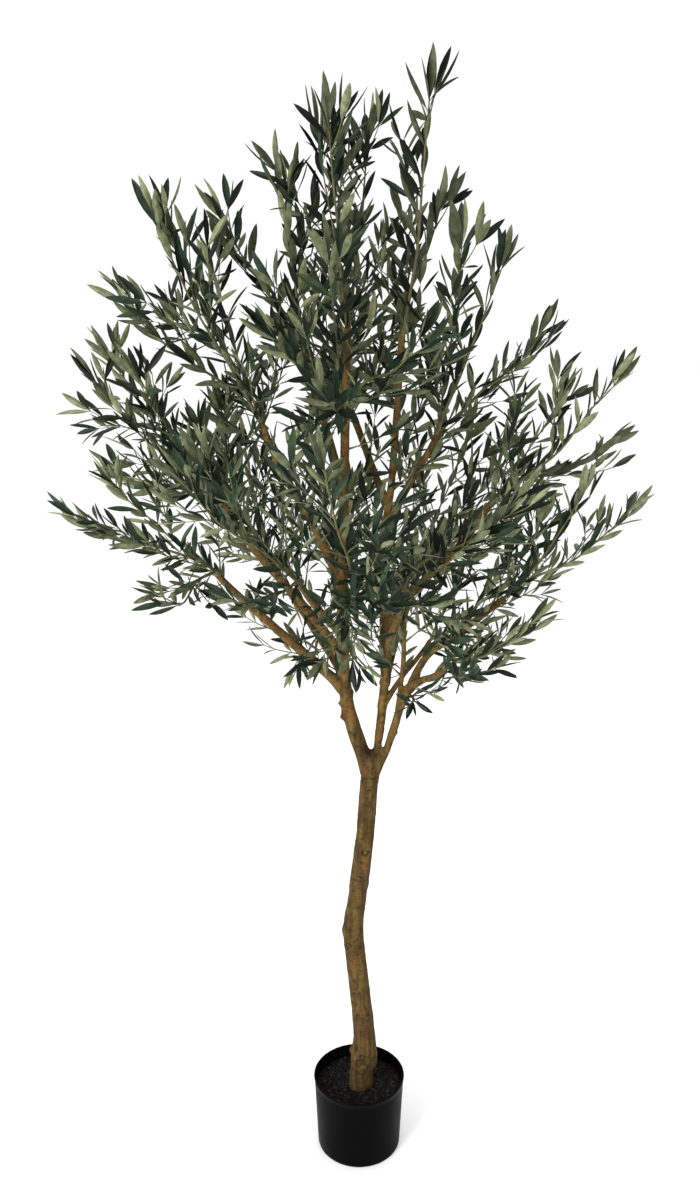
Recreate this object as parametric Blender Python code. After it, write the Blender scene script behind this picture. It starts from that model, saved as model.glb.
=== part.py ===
"""Potted artificial olive tree: pot, weighted fill, bare stem, boughs and sprays of leaves.

Metres, +Z up.  The origin is the middle of the pot's flat underside.  Heights in the tables of
the stem, boughs and sprays are above the fill's top, and the pot's own are above the ground.
Azimuths are in degrees from +X towards +Y, and a reach is a distance from the pot's axis.
"""
import math
import random

import bmesh
import bpy
import numpy as np
from mathutils import Vector
from mathutils.bvhtree import BVHTree

SEED = 24
UP = Vector((0.0, 0.0, 1.0))
CURVE_HANDLE = 0.33         # a curve's handles as a share of its straight length

# Clearances
FIT_GAP = 0.0003            # between solids that rest against each other
LEAF_CLEARANCE = 0.0025     # twigs and leaves from limbs and from a neighbour's space

# Pot and fill
POT_HEIGHT = 0.178
POT_RIM_RADIUS = 0.104
POT_BASE_RADIUS = 0.096
POT_WALL = 0.0025
POT_FLOOR = 0.003
POT_FOOT_ROUNDING = 0.003
RIM_BEAD_DEPTH = 0.005
RIM_BEAD_WIDTH = 0.0012
POT_SIDES = 32
FILL_LEVEL = 0.148

# Stem: height, sideways offset, half width and half depth; straight between these
TRUNK_SECTIONS = (
    (0.000, 0.0083, 0.0305, 0.0300),
    (0.018, 0.0095, 0.0280, 0.0275),
    (0.055, 0.0110, 0.0262, 0.0258),
    (0.126, 0.0125, 0.0250, 0.0246),
    (0.190, 0.0077, 0.0242, 0.0240),
    (0.378, -0.0121, 0.0226, 0.0222),
    (0.409, -0.0130, 0.0228, 0.0218),
    (0.439, -0.0118, 0.0221, 0.0215),
    (0.469, -0.0066, 0.0212, 0.0211),
    (0.647, 0.0129, 0.0204, 0.0203),
    (0.761, 0.0200, 0.0196, 0.0196),
    (0.789, 0.0231, 0.0208, 0.0200),
    (0.817, 0.0272, 0.0290, 0.0225),
    (0.840, 0.0265, 0.0394, 0.0250),
)
TRUNK_RING_STEP = 0.065     # longest stretch between rings of corners
TRUNK_SIDES = 12
TRUNK_SWAY = 0.009          # gentle bend in depth, none at either end
FLARE_LOBES = 3
FLARE_DEPTH = 0.07          # share of the radius, fading upwards
FLARE_HEIGHT = 0.05
# Knobs on the stem: height, azimuth, rise and how far they fade out
TRUNK_KNOBS = (
    (0.100, 185.0, 0.0065, 0.0113),
    (0.062, 262.0, 0.0035, 0.0099),
    (0.404, 190.0, 0.0040, 0.0127),
)

# Leaders stand side by side on the fork: base radius, then x, y and height of the points passed
LEADERS = {
    "bough_left_leader": (0.0180, (
        (0.0060, 0.000, 0.840), (-0.0147, 0.000, 0.900), (-0.0306, 0.000, 0.981),
        (-0.0356, 0.010, 1.135), (-0.0310, 0.005, 1.516), (-0.0250, 0.000, 1.730))),
    "bough_middle_leader": (0.0100, (
        (0.0355, 0.004, 0.840), (0.0439, 0.006, 0.900), (0.0544, 0.010, 1.037),
        (0.0470, 0.012, 1.179), (0.0440, 0.000, 1.301), (0.0612, -0.010, 1.418),
        (0.0790, -0.020, 1.711))),
    "bough_right_leader": (0.0092, (
        (0.0560, -0.003, 0.840), (0.0738, -0.003, 0.900), (0.0891, -0.005, 0.952),
        (0.1360, -0.010, 1.055), (0.2000, -0.020, 1.110), (0.2940, -0.030, 1.191))),
}
# Side boughs: leader, height left, azimuth, reach and height of the tip, base radius
SIDE_BOUGHS = {
    "bough_low_left": ("bough_left_leader", 0.982, 192, 0.296, 1.253, 0.0112),
    "bough_back_left": ("bough_left_leader", 1.015, 135, 0.283, 1.216, 0.0098),
    "bough_left": ("bough_left_leader", 1.048, 174, 0.284, 1.378, 0.0105),
    "bough_front_left": ("bough_left_leader", 1.098, 238, 0.225, 1.268, 0.0096),
    "bough_back": ("bough_left_leader", 1.108, 104, 0.227, 1.246, 0.0094),
    "bough_front": ("bough_left_leader", 1.150, 268, 0.205, 1.262, 0.0096),
    "bough_high_left": ("bough_left_leader", 1.200, 180, 0.195, 1.538, 0.0094),
    "bough_front_high": ("bough_left_leader", 1.350, 258, 0.143, 1.598, 0.0086),
    "bough_upper_left": ("bough_left_leader", 1.385, 156, 0.121, 1.677, 0.0086),
    "bough_back_right": ("bough_middle_leader", 0.990, 56, 0.242, 1.216, 0.0084),
    "bough_front_right": ("bough_middle_leader", 1.050, 294, 0.210, 1.255, 0.0084),
    "bough_right": ("bough_middle_leader", 1.115, 0, 0.261, 1.377, 0.0084),
    "bough_upper_right": ("bough_middle_leader", 1.322, 0, 0.157, 1.528, 0.0078),
    "bough_back_high": ("bough_middle_leader", 1.375, 110, 0.149, 1.636, 0.0078),
    "bough_lowest_right": ("bough_right_leader", 0.985, 328, 0.205, 1.075, 0.0078),
}
BOUGH_TIP_RADIUS = 0.0065
BOUGH_SIDES = 6
BOUGH_STEPS = 6
LEADER_STEPS = 2
BOUGH_ARCH = 0.22           # how far a side bough turns up towards its tip
BOUGH_LIFT = 0.1            # how far it leaves its leader above its straight line
BOUGH_WANDER = 0.004        # crookedness
WANDER_WAVES = (5.0, 4.0)   # radians of crookedness along a bough, both ways across it

# Masses of foliage: bough, azimuth, reach and height of the furthest leaf tip
SPRAYS = {
    "foliage_top_front": ("bough_left_leader", 247, 0.163, 2.152),
    "foliage_top_back": ("bough_left_leader", 82, 0.152, 2.177),
    "foliage_top": ("bough_middle_leader", 330, 0.146, 2.212),
    "foliage_top_right": ("bough_middle_leader", 30, 0.197, 2.031),
    "foliage_far_right": ("bough_right_leader", 0, 0.588, 1.420),
    "foliage_right_inner": ("bough_right_leader", 335, 0.472, 1.493),
    "foliage_far_left": ("bough_low_left", 184.5, 0.622, 1.412),
    "foliage_low_left": ("bough_low_left", 218, 0.488, 1.262),
    "foliage_left_middle": ("bough_left", 170, 0.575, 1.479),
    "foliage_left_raised": ("bough_left", 190.5, 0.548, 1.695),
    "foliage_left_high": ("bough_high_left", 171, 0.522, 1.838),
    "foliage_upper_left": ("bough_high_left", 196, 0.412, 1.992),
    "foliage_upper_left_back": ("bough_upper_left", 158.6, 0.330, 2.014),
    "foliage_top_left": ("bough_upper_left", 180, 0.160, 2.059),
    "foliage_upper_right": ("bough_upper_right", 340, 0.288, 1.911),
    "foliage_right_high": ("bough_upper_right", 14, 0.417, 1.777),
    "foliage_right_raised": ("bough_right", 355, 0.527, 1.694),
    "foliage_right_middle": ("bough_right", 14.6, 0.594, 1.532),
    "foliage_low_right": ("bough_lowest_right", 338, 0.407, 1.226),
    "foliage_lowest_front_right": ("bough_lowest_right", 302, 0.389, 1.145),
    "foliage_lowest_right": ("bough_lowest_right", 14, 0.365, 1.120),
    "foliage_front_left_low": ("bough_front_left", 236, 0.469, 1.297),
    "foliage_front_left": ("bough_front_left", 225, 0.490, 1.547),
    "foliage_front_lowest": ("bough_front", 256, 0.400, 1.140),
    "foliage_front_low": ("bough_front", 277, 0.490, 1.330),
    "foliage_front": ("bough_front", 262, 0.501, 1.584),
    "foliage_front_right_low": ("bough_front_right", 297, 0.410, 1.180),
    "foliage_front_right": ("bough_front_right", 310, 0.470, 1.515),
    "foliage_front_upper_left": ("bough_front_high", 240, 0.363, 1.775),
    "foliage_front_upper_right": ("bough_front_high", 292, 0.355, 1.775),
    "foliage_back_left_low": ("bough_back_left", 125, 0.520, 1.230),
    "foliage_back_left": ("bough_back_left", 142, 0.564, 1.481),
    "foliage_back_low": ("bough_back", 92, 0.502, 1.180),
    "foliage_back": ("bough_back", 104, 0.505, 1.544),
    "foliage_back_right_low": ("bough_back_right", 66, 0.505, 1.210),
    "foliage_back_right": ("bough_back_right", 44, 0.508, 1.504),
    "foliage_back_upper_left": ("bough_back_high", 128, 0.383, 1.882),
    "foliage_back_upper_right": ("bough_back_high", 70, 0.342, 1.904),
}
STEM_BASE_RADIUS = 0.0028
STEM_TIP_RADIUS = 0.0016
STEM_SPREAD = 0.0034        # stems that share a bough's tip stand this far from its middle
STEM_FAN = 0.5              # how far such stems lean apart where they start
STEM_ARCH = 0.30
STEM_STEPS = 4
TWIG_SIDES = 3
TWIG_RADIUS = 0.0020
TWIG_TIP_RADIUS = 0.0012
TWIGS_PER_SPRAY = 3
TWIG_TRIES = 10
TWIG_SHRINKS = (1.0, 0.75, 0.5)
TWIG_LEAN = 46.0
TWIG_LEAN_VARIES = 6.0
TWIG_RISE = 0.12
TWIG_SHARES = (0.483, 0.273)    # a twig as a share of its stem, at the stem's foot and end
FIRST_TWIG = 0.22
LAST_TWIG = 0.92
GROW_TRIES = 6
FULL_TRIES = 2              # tries before a mass that fails to join gets fewer leaves
GOLDEN_TURN = 137.5

LEAF_LENGTH = 0.124
LEAF_WIDTH = 0.036
LEAF_LENGTHS = (0.9, 1.0)   # range of sizes, as shares
LEAF_WIDTHS = (0.92, 1.08)
LEAF_THICKNESS = 0.0028
LEAF_WIDEST = 0.36
LEAF_LEAN = 36.0
LEAF_ROLL = 35.0
NEARLY_UPRIGHT = 0.1        # sine of the angle from upright under which a leaf has no level side
LEAF_TRIES = 6
TEST_SHARES = (0.35, 0.7, 1.0)
LEAF_TEST_SHARES = (0.15, 0.4, 0.6, 0.8)
LEAF_SHRINKS = (1.0, 0.82)
STEM_LEAF_SHARES = (0.40, 0.70)
TWIG_LEAF_SHARES = (0.35, 0.75)
TIP_LEAF_SINK = 0.006
PAIR_STAGGER = 0.009        # the leaves of a pair stand this far apart along their twig
PAIR_TURN = 90.0            # from one pair to the next
TWIG_LEAF_TURN = 40.0       # from one twig's first pair to the next twig's
REACH_ROOM = 0.02           # how far a side leaf may pass its mass's furthest tip
INNER_REACH = 0.22          # masses nearer the middle than this may spread to here
DROOP_ROOM = 0.14           # a drooping mass may rise this far above its bough's tip
SAG_ROOM = 0.045            # how far a leaf may hang below its mass's ends

COLOURS = {
    "pot": "#151515", "fill": "#1E1A16", "trunk": "#6B5733",
    "bough": "#8A6638", "foliage": "#42543F",
}


def linear(hex_colour):
    """Linear RGBA of an sRGB hex colour."""
    parts = [int(hex_colour[i:i + 2], 16) / 255 for i in (1, 3, 5)]
    return [c / 12.92 if c <= 0.04045 else ((c + 0.055) / 1.055) ** 2.4 for c in parts] + [1.0]


def finish_object(name, mesh):
    """Link a mesh as a named object with its own material."""
    obj = bpy.data.objects.new(name, mesh)
    bpy.context.scene.collection.objects.link(obj)
    material = bpy.data.materials.new(name + "_material")
    material.use_nodes = True
    shader = material.node_tree.nodes["Principled BSDF"]
    shader.inputs["Base Color"].default_value = linear(COLOURS[name.split("_")[0]])
    shader.inputs["Roughness"].default_value = 0.6
    mesh.materials.append(material)
    return obj


def mesh_from(name, points, faces):
    mesh = bpy.data.meshes.new(name)
    mesh.from_pydata([tuple(p) for p in points], [], faces)
    body = bmesh.new()
    body.from_mesh(mesh)
    bmesh.ops.recalc_face_normals(body, faces=body.faces)
    body.to_mesh(mesh)
    body.free()
    return mesh


def polar(azimuth, reach, height):
    turn = math.radians(azimuth)
    return Vector((reach * math.cos(turn), reach * math.sin(turn), height + FILL_LEVEL))


def smooth_through(points, steps):
    """Smooth course through the given points."""
    ends = [points[0] * 2 - points[1]] + list(points) + [points[-1] * 2 - points[-2]]
    course = []
    for a, b, c, d in zip(ends, ends[1:], ends[2:], ends[3:]):
        for i in range(steps):
            t = i / steps
            course.append(0.5 * (2 * b + (c - a) * t + (2 * a - 5 * b + 4 * c - d) * t ** 2
                                 + (3 * b - a - 3 * c + d) * t ** 3))
    return course + [points[-1]]


def arched(start, end, out, arch, steps):
    """Course that leaves along out and turns up towards its end."""
    chord = end - start
    arrive = (chord.normalized() + UP * arch).normalized()
    a = start + out * chord.length * CURVE_HANDLE
    b = end - arrive * chord.length * CURVE_HANDLE
    course = []
    for i in range(steps + 1):
        t = i / steps
        course.append(start * (1 - t) ** 3 + a * 3 * t * (1 - t) ** 2
                      + b * 3 * t * t * (1 - t) + end * t ** 3)
    return course


def at_height(course, height):
    """Point where a rising course passes a height."""
    for a, b in zip(course, course[1:]):
        if a.z <= height <= b.z:
            return a.lerp(b, (height - a.z) / (b.z - a.z))
    raise ValueError("the course does not pass that height")


def directions(course):
    return [(course[min(i + 1, len(course) - 1)] - course[max(i - 1, 0)]).normalized()
            for i in range(len(course))]


def frames(course, first=None):
    """Two cross directions at each point, carried along the course without twisting."""
    along = directions(course)
    if first is not None:
        along[0] = first
    across = along[0].orthogonal().normalized()
    result = []
    for direction in along:
        across = (across - direction * across.dot(direction)).normalized()
        result.append((across, direction.cross(across)))
    return result


def tube(name, course, radii, sides, first=None):
    """Closed tapering tube along a course."""
    points, faces = [], []
    for centre, radius, (u, v) in zip(course, radii, frames(course, first)):
        for k in range(sides):
            turn = 2 * math.pi * k / sides
            points.append(centre + (u * math.cos(turn) + v * math.sin(turn)) * radius)
    for ring in range(len(course) - 1):
        for k in range(sides):
            a, b = ring * sides + k, ring * sides + (k + 1) % sides
            faces.append((a, b, b + sides, a + sides))
    faces.append(tuple(range(sides)))
    faces.append(tuple(range(len(points) - sides, len(points))))
    return mesh_from(name, points, faces)


def tapered(base, tip, count):
    return [base + (tip - base) * i / (count - 1) for i in range(count)]


def turned(name, profile):
    """Solid of revolution; the profile starts and ends on the axis."""
    points, faces = [Vector((0, 0, profile[0][1]))], []
    for radius, height in profile[1:-1]:
        for k in range(POT_SIDES):
            turn = 2 * math.pi * k / POT_SIDES
            points.append(Vector((radius * math.cos(turn), radius * math.sin(turn), height)))
    points.append(Vector((0, 0, profile[-1][1])))
    rings, last = len(profile) - 2, len(points) - 1
    for k in range(POT_SIDES):
        n = (k + 1) % POT_SIDES
        faces.append((0, 1 + n, 1 + k))
        for ring in range(rings - 1):
            a, b = 1 + ring * POT_SIDES + k, 1 + ring * POT_SIDES + n
            faces.append((a, b, b + POT_SIDES, a + POT_SIDES))
        top = 1 + (rings - 1) * POT_SIDES
        faces.append((top + k, top + n, last))
    return mesh_from(name, points, faces)


def wall_radius(height):
    """Outer radius of the pot's wall at a height."""
    return POT_BASE_RADIUS + (POT_RIM_RADIUS - POT_BASE_RADIUS) * height / POT_HEIGHT


def build_pot():
    inside = POT_RIM_RADIUS - POT_WALL
    bead = POT_HEIGHT - RIM_BEAD_DEPTH
    corner = POT_FOOT_ROUNDING * (1 - math.cos(math.pi / 4))
    profile = [
        (0, 0), (POT_BASE_RADIUS - POT_FOOT_ROUNDING, 0),
        (POT_BASE_RADIUS - corner, corner),
        (wall_radius(POT_FOOT_ROUNDING), POT_FOOT_ROUNDING), (wall_radius(bead), bead),
        (wall_radius(bead) + RIM_BEAD_WIDTH, bead + RIM_BEAD_WIDTH),
        (POT_RIM_RADIUS + RIM_BEAD_WIDTH, POT_HEIGHT - RIM_BEAD_WIDTH),
        (POT_RIM_RADIUS, POT_HEIGHT), (inside, POT_HEIGHT),
        (wall_radius(POT_FLOOR) - POT_WALL, POT_FLOOR), (0, POT_FLOOR),
    ]
    finish_object("pot", turned("pot", profile))


def build_fill():
    bottom = POT_FLOOR + FIT_GAP
    # the wall is a polygon in plan, so the gap is taken square to its flats
    gap = (POT_WALL + FIT_GAP) / math.cos(math.pi / POT_SIDES)
    profile = [(0, bottom), (wall_radius(bottom) - gap, bottom),
               (wall_radius(FILL_LEVEL) - gap, FILL_LEVEL), (0, FILL_LEVEL)]
    finish_object("fill", turned("fill", profile))


def trunk_rings():
    """Sections at the given heights and at the knobs, with more where they lie far apart."""
    heights = sorted({row[0] for row in TRUNK_SECTIONS} | {knob[0] for knob in TRUNK_KNOBS})
    more = []
    for low, high in zip(heights, heights[1:]):
        count = math.ceil((high - low) / TRUNK_RING_STEP)
        more += [low + (high - low) * i / count for i in range(count)]
    more.append(heights[-1])
    given, *sizes = zip(*TRUNK_SECTIONS)
    return [(height, *(float(np.interp(height, given, size)) for size in sizes))
            for height in more]


def trunk_sway(height):
    return TRUNK_SWAY * math.sin(math.pi * height / TRUNK_SECTIONS[-1][0])


def build_trunk():
    """Bare stem with root flare, knobs and a widened fork; returns its course and radii."""
    base = FILL_LEVEL + FIT_GAP
    points, faces = [], []
    rings = trunk_rings()
    for height, x, half, deep in rings:
        fade = math.exp(-height / FLARE_HEIGHT)
        y = trunk_sway(height)
        for k in range(TRUNK_SIDES):
            turn = 2 * math.pi * k / TRUNK_SIDES
            swell = 1 + FLARE_DEPTH * fade * math.cos(FLARE_LOBES * turn)
            point = Vector((math.cos(turn) * half * swell, math.sin(turn) * deep * swell, 0))
            for knob_height, azimuth, rise, spread in TRUNK_KNOBS:
                side = math.radians(azimuth)
                away = (turn - side + math.pi) % (2 * math.pi) - math.pi
                near = ((height - knob_height) ** 2 + (away * half) ** 2) / spread ** 2
                point += Vector((math.cos(turn), math.sin(turn), 0)) * rise * math.exp(-near)
            points.append(point + Vector((x, y, height + base)))
    for ring in range(len(rings) - 1):
        for k in range(TRUNK_SIDES):
            a, b = ring * TRUNK_SIDES + k, ring * TRUNK_SIDES + (k + 1) % TRUNK_SIDES
            faces.append((a, b, b + TRUNK_SIDES, a + TRUNK_SIDES))
    faces.append(tuple(range(TRUNK_SIDES)))
    faces.append(tuple(range(len(points) - TRUNK_SIDES, len(points))))
    finish_object("trunk", mesh_from("trunk", points, faces))
    course = [Vector((x, trunk_sway(height), height + base)) for height, x, *_ in rings]
    return course, [half for _, _, half, _ in rings]


def boolean_mesh(obj, operation, operand=None, group=None):
    """Apply one Boolean, keep its largest piece and say whether it is one closed body.

    The second solver is a fallback; the object is left as it was if both fail.
    """
    modifier = obj.modifiers.new(operation.lower(), "BOOLEAN")
    modifier.operation = operation
    if group is not None:
        modifier.operand_type = "COLLECTION"
        modifier.collection = group
    else:
        modifier.object = operand
    for solver in ("EXACT", "MANIFOLD"):
        modifier.solver = solver
        graph = bpy.context.evaluated_depsgraph_get()
        result = bpy.data.meshes.new_from_object(obj.evaluated_get(graph))
        if keep_largest(result):
            break
        bpy.data.meshes.remove(result)
        result = None
    obj.modifiers.remove(modifier)
    if result is None:
        return False
    old, obj.data = obj.data, result
    bpy.data.meshes.remove(old)
    return True


def keep_largest(mesh):
    """Drop loose scraps, cut the rest into triangles and say whether it is closed.

    Corners left with only two edges are dissolved first: with them in, neighbouring faces
    were sometimes cut along the same diagonal, which doubled an edge.
    """
    for cutting in ("BEAUTY", "EAR_CLIP"):
        body = bmesh.new()
        body.from_mesh(mesh)
        drop_scraps(body)
        needless = [vert for vert in body.verts if len(vert.link_edges) == 2]
        bmesh.ops.dissolve_verts(body, verts=needless)
        bmesh.ops.triangulate(body, faces=body.faces, ngon_method=cutting)
        closed = all(edge.is_manifold for edge in body.edges)
        if closed:
            body.to_mesh(mesh)
        body.free()
        if closed:
            return True
    return False


def drop_scraps(body):
    """Remove all but the largest connected piece."""
    waiting, pieces = set(body.verts), []
    while waiting:
        piece, front = set(), [waiting.pop()]
        while front:
            vert = front.pop()
            piece.add(vert)
            for edge in vert.link_edges:
                other = edge.other_vert(vert)
                if other in waiting:
                    waiting.discard(other)
                    front.append(other)
        pieces.append(piece)
    pieces.sort(key=len)
    loose = [vert for piece in pieces[:-1] for vert in piece]
    bmesh.ops.delete(body, geom=loose, context="VERTS")


def build_boughs(rng):
    """Leaders and side boughs; returns each one's course and radii by name."""
    limbs = {}
    lift = FILL_LEVEL + 2 * FIT_GAP     # one gap under the stem and one over it
    for name, (radius, points) in LEADERS.items():
        course = smooth_through([Vector(p) + UP * lift for p in points], LEADER_STEPS)
        radii = tapered(radius, BOUGH_TIP_RADIUS, len(course))
        finish_object(name, tube(name, course, radii, BOUGH_SIDES, UP))
        limbs[name] = course, radii
    for name, (leader, leave, azimuth, reach, height, radius) in SIDE_BOUGHS.items():
        parent, parent_radii = limbs[leader]
        start = at_height(parent, leave + FILL_LEVEL)
        end = polar(azimuth, reach, height)
        out = ((end - start).normalized() + UP * BOUGH_LIFT).normalized()
        course = arched(start, end, out, BOUGH_ARCH, BOUGH_STEPS)
        phase = rng.uniform(0, 2 * math.pi)
        first, second = WANDER_WAVES
        for i, (point, (u, v)) in enumerate(zip(course, frames(course))):
            t = i / (len(course) - 1)
            sway = BOUGH_WANDER * math.sin(math.pi * t)
            point += (u * math.sin(first * t + phase) + v * math.cos(second * t + phase)) * sway
        radii = tapered(radius, BOUGH_TIP_RADIUS, len(course))
        bough = finish_object(name, tube(name, course, radii, BOUGH_SIDES))
        wider = [r + FIT_GAP / math.cos(math.pi / BOUGH_SIDES) for r in parent_radii]
        cutter = bpy.data.objects.new("cutter", tube("cutter", parent, wider, BOUGH_SIDES, UP))
        bpy.context.scene.collection.objects.link(cutter)
        if not boolean_mesh(bough, "DIFFERENCE", operand=cutter):
            raise RuntimeError(name + " could not be fitted to its leader")
        bpy.data.objects.remove(cutter)
        limbs[name] = course, radii
    return limbs


def plan_stems(limbs):
    """Course of each mass's stem, from just clear of its bough's tip to its last leaf."""
    stems = {}
    for bough, (course, _) in limbs.items():
        tip = course[-1]
        along = directions(course)[-1]
        here = [(n, polar(*row[1:])) for n, row in SPRAYS.items() if row[0] == bough]
        u = along.orthogonal().normalized()
        v = along.cross(u)
        turns = sorted((math.atan2((end - tip).dot(v), (end - tip).dot(u)), n, end)
                       for n, end in here)
        first = turns[0][0]
        for i, (_, name, end) in enumerate(turns):
            turn = first + 2 * math.pi * i / len(turns)
            side = u * math.cos(turn) + v * math.sin(turn)
            start = tip + along * FIT_GAP + side * STEM_SPREAD
            out = (along + side * STEM_FAN + (end - tip).normalized()).normalized()
            aim = ((end - start).normalized() + UP * STEM_ARCH).normalized()
            last = end - aim * (LEAF_LENGTH - TIP_LEAF_SINK)
            stems[name] = arched(start, last, out, STEM_ARCH, STEM_STEPS), along
    return stems


def segments(courses):
    """Start points, end points and owner numbers of every straight piece of some courses."""
    starts, ends, owners = [], [], []
    for owner, course in enumerate(courses):
        for a, b in zip(course, course[1:]):
            starts.append(tuple(a))
            ends.append(tuple(b))
            owners.append(owner)
    return np.array(starts), np.array(ends), np.array(owners)


def distances(points, starts, ends):
    """Distance from every point to every segment."""
    p = np.array([tuple(q) for q in points])[:, None, :]
    run = ends - starts
    t = np.clip(((p - starts) * run).sum(2) / (run * run).sum(1), 0, 1)
    return np.linalg.norm(p - (starts + t[..., None] * run), axis=2)


class Space:
    """Decides whether points lie in a mass's own space and clear of every limb."""

    def __init__(self, stems, limbs):
        self.names = list(stems)
        self.stems = segments([stems[n][0] for n in self.names])
        self.limbs = segments([course for course, _ in limbs.values()])[:2]
        self.tips = {name: course[-1].z for name, (course, _) in limbs.items()}
        widths = [radii for _, radii in limbs.values()]
        self.widths = np.array([max(a, b) for r in widths for a, b in zip(r, r[1:])])

    def allows(self, name, points):
        bough, _, reach, height = SPRAYS[name]
        widest = max(reach, INNER_REACH) + REACH_ROOM
        ceiling = max(height + FILL_LEVEL, self.tips[bough] + DROOP_ROOM)
        floor = min(height + FILL_LEVEL, self.tips[bough]) - SAG_ROOM
        if max(p.z for p in points) > ceiling or min(p.z for p in points) < floor:
            return False
        if max(math.hypot(p.x, p.y) for p in points) > widest:
            return False
        starts, ends, owners = self.stems
        away = distances(points, starts, ends)
        mine = owners == self.names.index(name)
        own, other = away[:, mine].min(1), away[:, ~mine].min(1)
        if (own + 2 * LEAF_CLEARANCE > other).any():
            return False
        return not (distances(points, *self.limbs) < self.widths + LEAF_CLEARANCE).any()


# Corners of a leaf are its root, tip, two sides and the keel under it
LEAF_FACES = ((0, 2, 3), (1, 3, 2), (0, 4, 2), (0, 3, 4), (1, 2, 4), (1, 4, 3))


def leaf_corners(root, direction, across, length, width):
    """A leaf with a flat top and a keel."""
    normal = direction.cross(across).normalized()
    middle = root + direction * length * LEAF_WIDEST
    return [root, root + direction * length, middle + across * width / 2,
            middle - across * width / 2, middle - normal * LEAF_THICKNESS]


def tree_of(mesh):
    """Search tree of a mesh's faces."""
    faces = [tuple(face.vertices) for face in mesh.polygons]
    return BVHTree.FromPolygons([vert.co for vert in mesh.vertices], faces)


class Spray:
    """One mass of foliage, grown from its stem."""

    def __init__(self, name, stem, space, rng):
        self.name, self.stem, self.space, self.rng = name, stem, space, rng
        self.parts, self.trees = [], []

    def crosses(self, tree, carrier):
        """Whether a piece runs into any other piece but the one that carries it."""
        return any(other is not carrier and tree.overlap(other) for other in self.trees)

    def keep(self, mesh, tree):
        self.parts.append(mesh)
        self.trees.append(tree)

    def add_leaf(self, root, along, turn, lean, carrier):
        """Try a leaf at a few turns about its twig and keep the first that fits."""
        u = along.orthogonal().normalized()
        v = along.cross(u)
        full_length = LEAF_LENGTH * self.rng.uniform(*LEAF_LENGTHS)
        full_width = LEAF_WIDTH * self.rng.uniform(*LEAF_WIDTHS)
        for attempt in range(LEAF_TRIES * len(LEAF_SHRINKS)):
            shrink = LEAF_SHRINKS[attempt // LEAF_TRIES]
            length, width = full_length * shrink, full_width * shrink
            around = math.radians(turn + attempt * 360 / LEAF_TRIES)
            side = u * math.cos(around) + v * math.sin(around)
            tilt = math.radians(lean)
            direction = (along * math.cos(tilt) + side * math.sin(tilt)).normalized()
            level = direction.cross(UP)
            if level.length < NEARLY_UPRIGHT:
                level = direction.orthogonal()
            level.normalize()
            roll = math.radians(self.rng.uniform(-LEAF_ROLL, LEAF_ROLL))
            across = level * math.cos(roll) + direction.cross(level) * math.sin(roll)
            corners = leaf_corners(root, direction, across, length, width)
            tip, sides = corners[1], corners[2:4]
            test = corners[1:] + [root.lerp(tip, s) for s in LEAF_TEST_SHARES]
            test += [side.lerp(end, 0.5) for side in sides for end in (root, tip)]
            tree = BVHTree.FromPolygons(corners, LEAF_FACES)
            if self.space.allows(self.name, test) and not self.crosses(tree, carrier):
                self.keep(mesh_from("leaf", corners, LEAF_FACES), tree)
                return

    def add_twig(self, share, number):
        place = share * (len(self.stem) - 1)
        i = min(int(place), len(self.stem) - 2)
        root = self.stem[i].lerp(self.stem[i + 1], place - i)
        along = (self.stem[i + 1] - self.stem[i]).normalized()
        u = along.orthogonal().normalized()
        v = along.cross(u)
        stem_length = sum((b - a).length for a, b in zip(self.stem, self.stem[1:]))
        longest, shortest = TWIG_SHARES
        full = stem_length * (longest + (shortest - longest) * share)
        for shrink in TWIG_SHRINKS:
            for attempt in range(TWIG_TRIES):
                turn = math.radians(number * GOLDEN_TURN + attempt * 360 / TWIG_TRIES)
                side = u * math.cos(turn) + v * math.sin(turn)
                varies = self.rng.uniform(-TWIG_LEAN_VARIES, TWIG_LEAN_VARIES)
                lean = math.radians(TWIG_LEAN + varies)
                out = (along * math.cos(lean) + side * math.sin(lean)).normalized()
                end = root + (out + UP * TWIG_RISE).normalized() * full * shrink
                if not self.space.allows(self.name, [root.lerp(end, s) for s in TEST_SHARES]):
                    continue
                course = [root, end]
                mesh = tube("twig", course, [TWIG_RADIUS, TWIG_TIP_RADIUS], TWIG_SIDES)
                tree = tree_of(mesh)
                if not self.crosses(tree, self.trees[0]):
                    self.keep(mesh, tree)
                    self.leaf_up(course, TWIG_LEAF_SHARES, number * TWIG_LEAF_TURN, tree)
                    return

    def leaf_up(self, course, shares, turn, carrier):
        """Pairs of leaves at the shares given and one at the end."""
        for number, share in enumerate(shares):
            place = share * (len(course) - 1)
            i = min(int(place), len(course) - 2)
            root = course[i].lerp(course[i + 1], place - i)
            along = (course[i + 1] - course[i]).normalized()
            for side, shift in ((0, 0.0), (180, PAIR_STAGGER)):
                self.add_leaf(root + along * shift, along, turn + number * PAIR_TURN + side,
                              LEAF_LEAN, carrier)
        along = (course[-1] - course[-2]).normalized()
        self.add_leaf(course[-1] - along * TIP_LEAF_SINK, along, turn, 0.0, carrier)

    def build(self, first):
        """Grow and join the mass; if it fails to join it is grown again, later with fewer leaves."""
        radii = tapered(STEM_BASE_RADIUS, STEM_TIP_RADIUS, len(self.stem))
        body = finish_object(self.name, tube(self.name, self.stem, radii, TWIG_SIDES, first))
        for attempt in range(GROW_TRIES):
            stem = tree_of(body.data)
            self.parts, self.trees = [], [stem]
            self.leaf_up(self.stem, STEM_LEAF_SHARES, 0, stem)
            for number in range(TWIGS_PER_SPRAY):
                share = FIRST_TWIG + (LAST_TWIG - FIRST_TWIG) * number / (TWIGS_PER_SPRAY - 1)
                self.add_twig(share, number)
            fewer = max(0, attempt + 1 - FULL_TRIES)
            if self.join(body, self.parts[:len(self.parts) - fewer]):
                return
        raise RuntimeError(self.name + " did not join into one closed body")

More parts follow.
